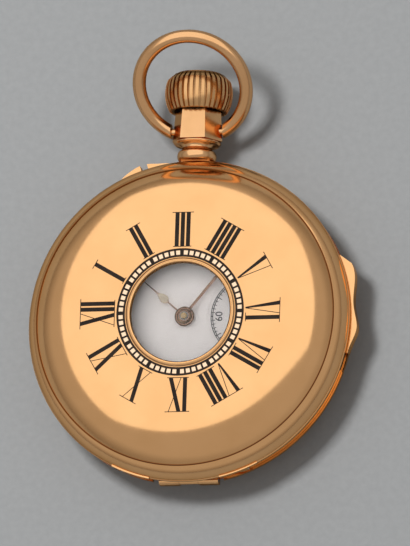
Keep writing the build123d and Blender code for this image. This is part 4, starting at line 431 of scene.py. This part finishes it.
# Numbers on the seconds dial, upright on the quarter-turned dial
seconds_low, seconds_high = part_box("fourth_wheel")
print_low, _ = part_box("dial_printing")
seconds_centre = (seconds_low + seconds_high) / 2
printed_pieces = []
for quarter, number in enumerate(SECONDS_NUMBERS):
    turn = math.radians(180 - 90 * quarter)
    letters = bpy.data.curves.new("seconds_" + number, "FONT")
    letters.body = number
    letters.size = SECONDS_NUMBER_SIZE
    letters.align_x = "CENTER"
    letters.align_y = "CENTER"
    letters.extrude = SECONDS_NUMBER_RISE
    letters.materials.append(materials["dial_print"])
    piece = bpy.data.objects.new("seconds_number_" + number, letters)
    piece.location = (
        seconds_centre.x + SECONDS_NUMBER_RADIUS * math.cos(turn),
        seconds_centre.y + SECONDS_NUMBER_RADIUS * math.sin(turn),
        print_low.z + SECONDS_NUMBER_RISE,
    )
    piece.rotation_euler = (0, 0, math.radians(90))
    bpy.context.scene.collection.objects.link(piece)
    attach(piece, "case")
    printed_pieces.append(piece)

# Short marks inside the seconds track, one a second, left out where the printing has a longer one
mark_centre = Vector((seconds_centre.x, seconds_centre.y, print_low.z))
mark_corners = []
mark_faces = []
for second in range(SECONDS_PER_TURN):
    if second % LONG_MARK_STEP == 0:
        continue
    turn = 2 * math.pi * second / SECONDS_PER_TURN
    along = Vector((math.cos(turn), math.sin(turn), 0))
    aside = Vector((-along.y, along.x, 0)) * SECONDS_MARK_HALF_WIDTH
    first = len(mark_corners)
    for rise in (0, 2 * SECONDS_NUMBER_RISE):
        for radius, side in (
            (SECONDS_MARK_INNER, -1),
            (SECONDS_MARK_OUTER, -1),
            (SECONDS_MARK_OUTER, 1),
            (SECONDS_MARK_INNER, 1),
        ):
            mark_corners.append(mark_centre + along * radius + aside * side + Vector((0, 0, rise)))
    mark_faces += [tuple(first + corner for corner in face) for face in BOX_FACES]
mark_mesh = bpy.data.meshes.new("seconds_marks")
mark_mesh.from_pydata(mark_corners, [], mark_faces)
mark_mesh.materials.append(materials["dial_print"])
marks = bpy.data.objects.new("seconds_marks", mark_mesh)
bpy.context.scene.collection.objects.link(marks)
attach(marks, "case")
printed_pieces.append(marks)

# Floor
floor_mesh = bpy.data.meshes.new("floor")
floor_corners = [
    (FLOOR_REACH * across, FLOOR_REACH * along, 0) for across, along in ((-1, -1), (1, -1), (1, 1), (-1, 1))
]
floor_mesh.from_pydata(floor_corners, [], [(0, 1, 2, 3)])
floor = bpy.data.objects.new("floor", floor_mesh)
bpy.context.scene.collection.objects.link(floor)
floor_material, floor_tree, floor_output = node_tree("floor_paper")
floor_shader = add(
    floor_tree,
    "ShaderNodeBsdfPrincipled",
    Base_Color=ramp(floor_tree, noise(floor_tree, METAL_GRAIN), MOTTLE_RANGE, FLOOR_DARK, FLOOR_LIGHT),
    Roughness=FLOOR_ROUGHNESS,
)
floor_tree.links.new(floor_shader.outputs["BSDF"], floor_output.inputs["Surface"])
floor_mesh.materials.append(floor_material)

# Camera
centre = Vector((0, 0, CASE_CENTRE_HEIGHT))
toward = Vector(
    (
        math.sin(VIEW_TILT) * math.cos(VIEW_TURN),
        math.sin(VIEW_TILT) * math.sin(VIEW_TURN),
        math.cos(VIEW_TILT),
    )
)
level = Vector((0, 1, 0)).cross(toward).normalized()
right = Matrix.Rotation(VIEW_ROLL, 3, toward) @ level
upward = toward.cross(right)
turned = Matrix((right, upward, toward)).transposed()
target = (
    centre
    + right * (IMAGE_WIDTH_PX / 2 - CASE_CENTRE_PX[0]) / SCALE_PX_PER_M
    + upward * (CASE_CENTRE_PX[1] - IMAGE_HEIGHT_PX / 2) / SCALE_PX_PER_M
)
camera_data = bpy.data.cameras.new("camera")
camera_data.type = "ORTHO"
camera_data.ortho_scale = IMAGE_HEIGHT_PX / SCALE_PX_PER_M
camera_data.clip_start = CAMERA_CLIP_START
camera = bpy.data.objects.new("camera", camera_data)
camera.matrix_world = Matrix.Translation(target + toward * CAMERA_DISTANCE) @ turned.to_4x4()
bpy.context.scene.collection.objects.link(camera)
bpy.context.scene.camera = camera


def area_light(name, width, height, power, colour):
    """A soft rectangular lamp."""
    light = bpy.data.lights.new(name, "AREA")
    light.shape = "RECTANGLE"
    light.size = width
    light.size_y = height
    light.energy = power
    light.color = colour
    lamp = bpy.data.objects.new(name, light)
    bpy.context.scene.collection.objects.link(lamp)
    return lamp


def side_lamp(name, side, power, group):
    """A square lamp from the upper left that lights one group of pieces and shows in no reflection."""
    lamp = area_light(name, side, side, power, SIDE_LAMP_COLOUR)
    lamp.location = centre + SIDE_LAMP_WAY * LAMP_DISTANCE
    lamp.rotation_euler = (-SIDE_LAMP_WAY).to_track_quat("-Z", "Y").to_euler()
    lamp.visible_glossy = False
    lamp.light_linking.receiver_collection = group


def light_group(name, pieces, state):
    """The pieces that a lamp lights alone, or leaves out."""
    group = bpy.data.collections.new(name)
    for piece in pieces:
        group.objects.link(piece)
    for entry in group.collection_objects:
        entry.light_linking.link_state = state
    return group


# The wide panel that the polished lid mirrors: it reaches further up and to the right
mirror_way = Vector((-toward.x, -toward.y, toward.z))
panel_right = (right - mirror_way * right.dot(mirror_way)).normalized()
panel_up = mirror_way.cross(panel_right)
panel_power = PANEL_RADIANCE * math.pi * PANEL_WIDTH * PANEL_HEIGHT
panel_shift = panel_right * PANEL_SHIFT_RIGHT + panel_up * PANEL_SHIFT_UP
panel = area_light("key_panel", PANEL_WIDTH, PANEL_HEIGHT, panel_power, PANEL_COLOUR)
panel.matrix_world = (
    Matrix.Translation(centre + mirror_way * LAMP_DISTANCE + panel_shift)
    @ Matrix((panel_right, panel_up, mirror_way)).transposed().to_4x4()
)
panel.visible_diffuse = False

# A small lamp lights the floor and the case and throws the shadow. The dial is lit by a wider one
# from the same side, so its shade under the lid stays soft
dial_pieces = [frame["nodes"][name] for name in DIAL_SIDE] + printed_pieces
side_lamp(
    "shadow_lamp", SHADOW_LAMP_SIDE, SHADOW_LAMP_POWER, light_group("not_dial_side", dial_pieces, "EXCLUDE")
)
side_lamp("dial_lamp", DIAL_LAMP_SIDE, DIAL_LAMP_POWER, light_group("dial_side", dial_pieces, "INCLUDE"))

# Surroundings: pale above, darker towards the floor
world = bpy.data.worlds.new("studio")
bpy.context.scene.world = world
world.use_nodes = True
sky_tree = world.node_tree
sky_place = sky_tree.nodes.new("ShaderNodeTexCoord").outputs["Generated"]
sky_height = add(sky_tree, "ShaderNodeSeparateXYZ", Vector=sky_place).outputs["Z"]
sky_colour = ramp(sky_tree, sky_height, SKY_RANGE, SKY_LOW, SKY_HIGH)
sky_tree.links.new(sky_colour, sky_tree.nodes["Background"].inputs["Color"])
bpy.context.scene.view_settings.view_transform = "Standard"
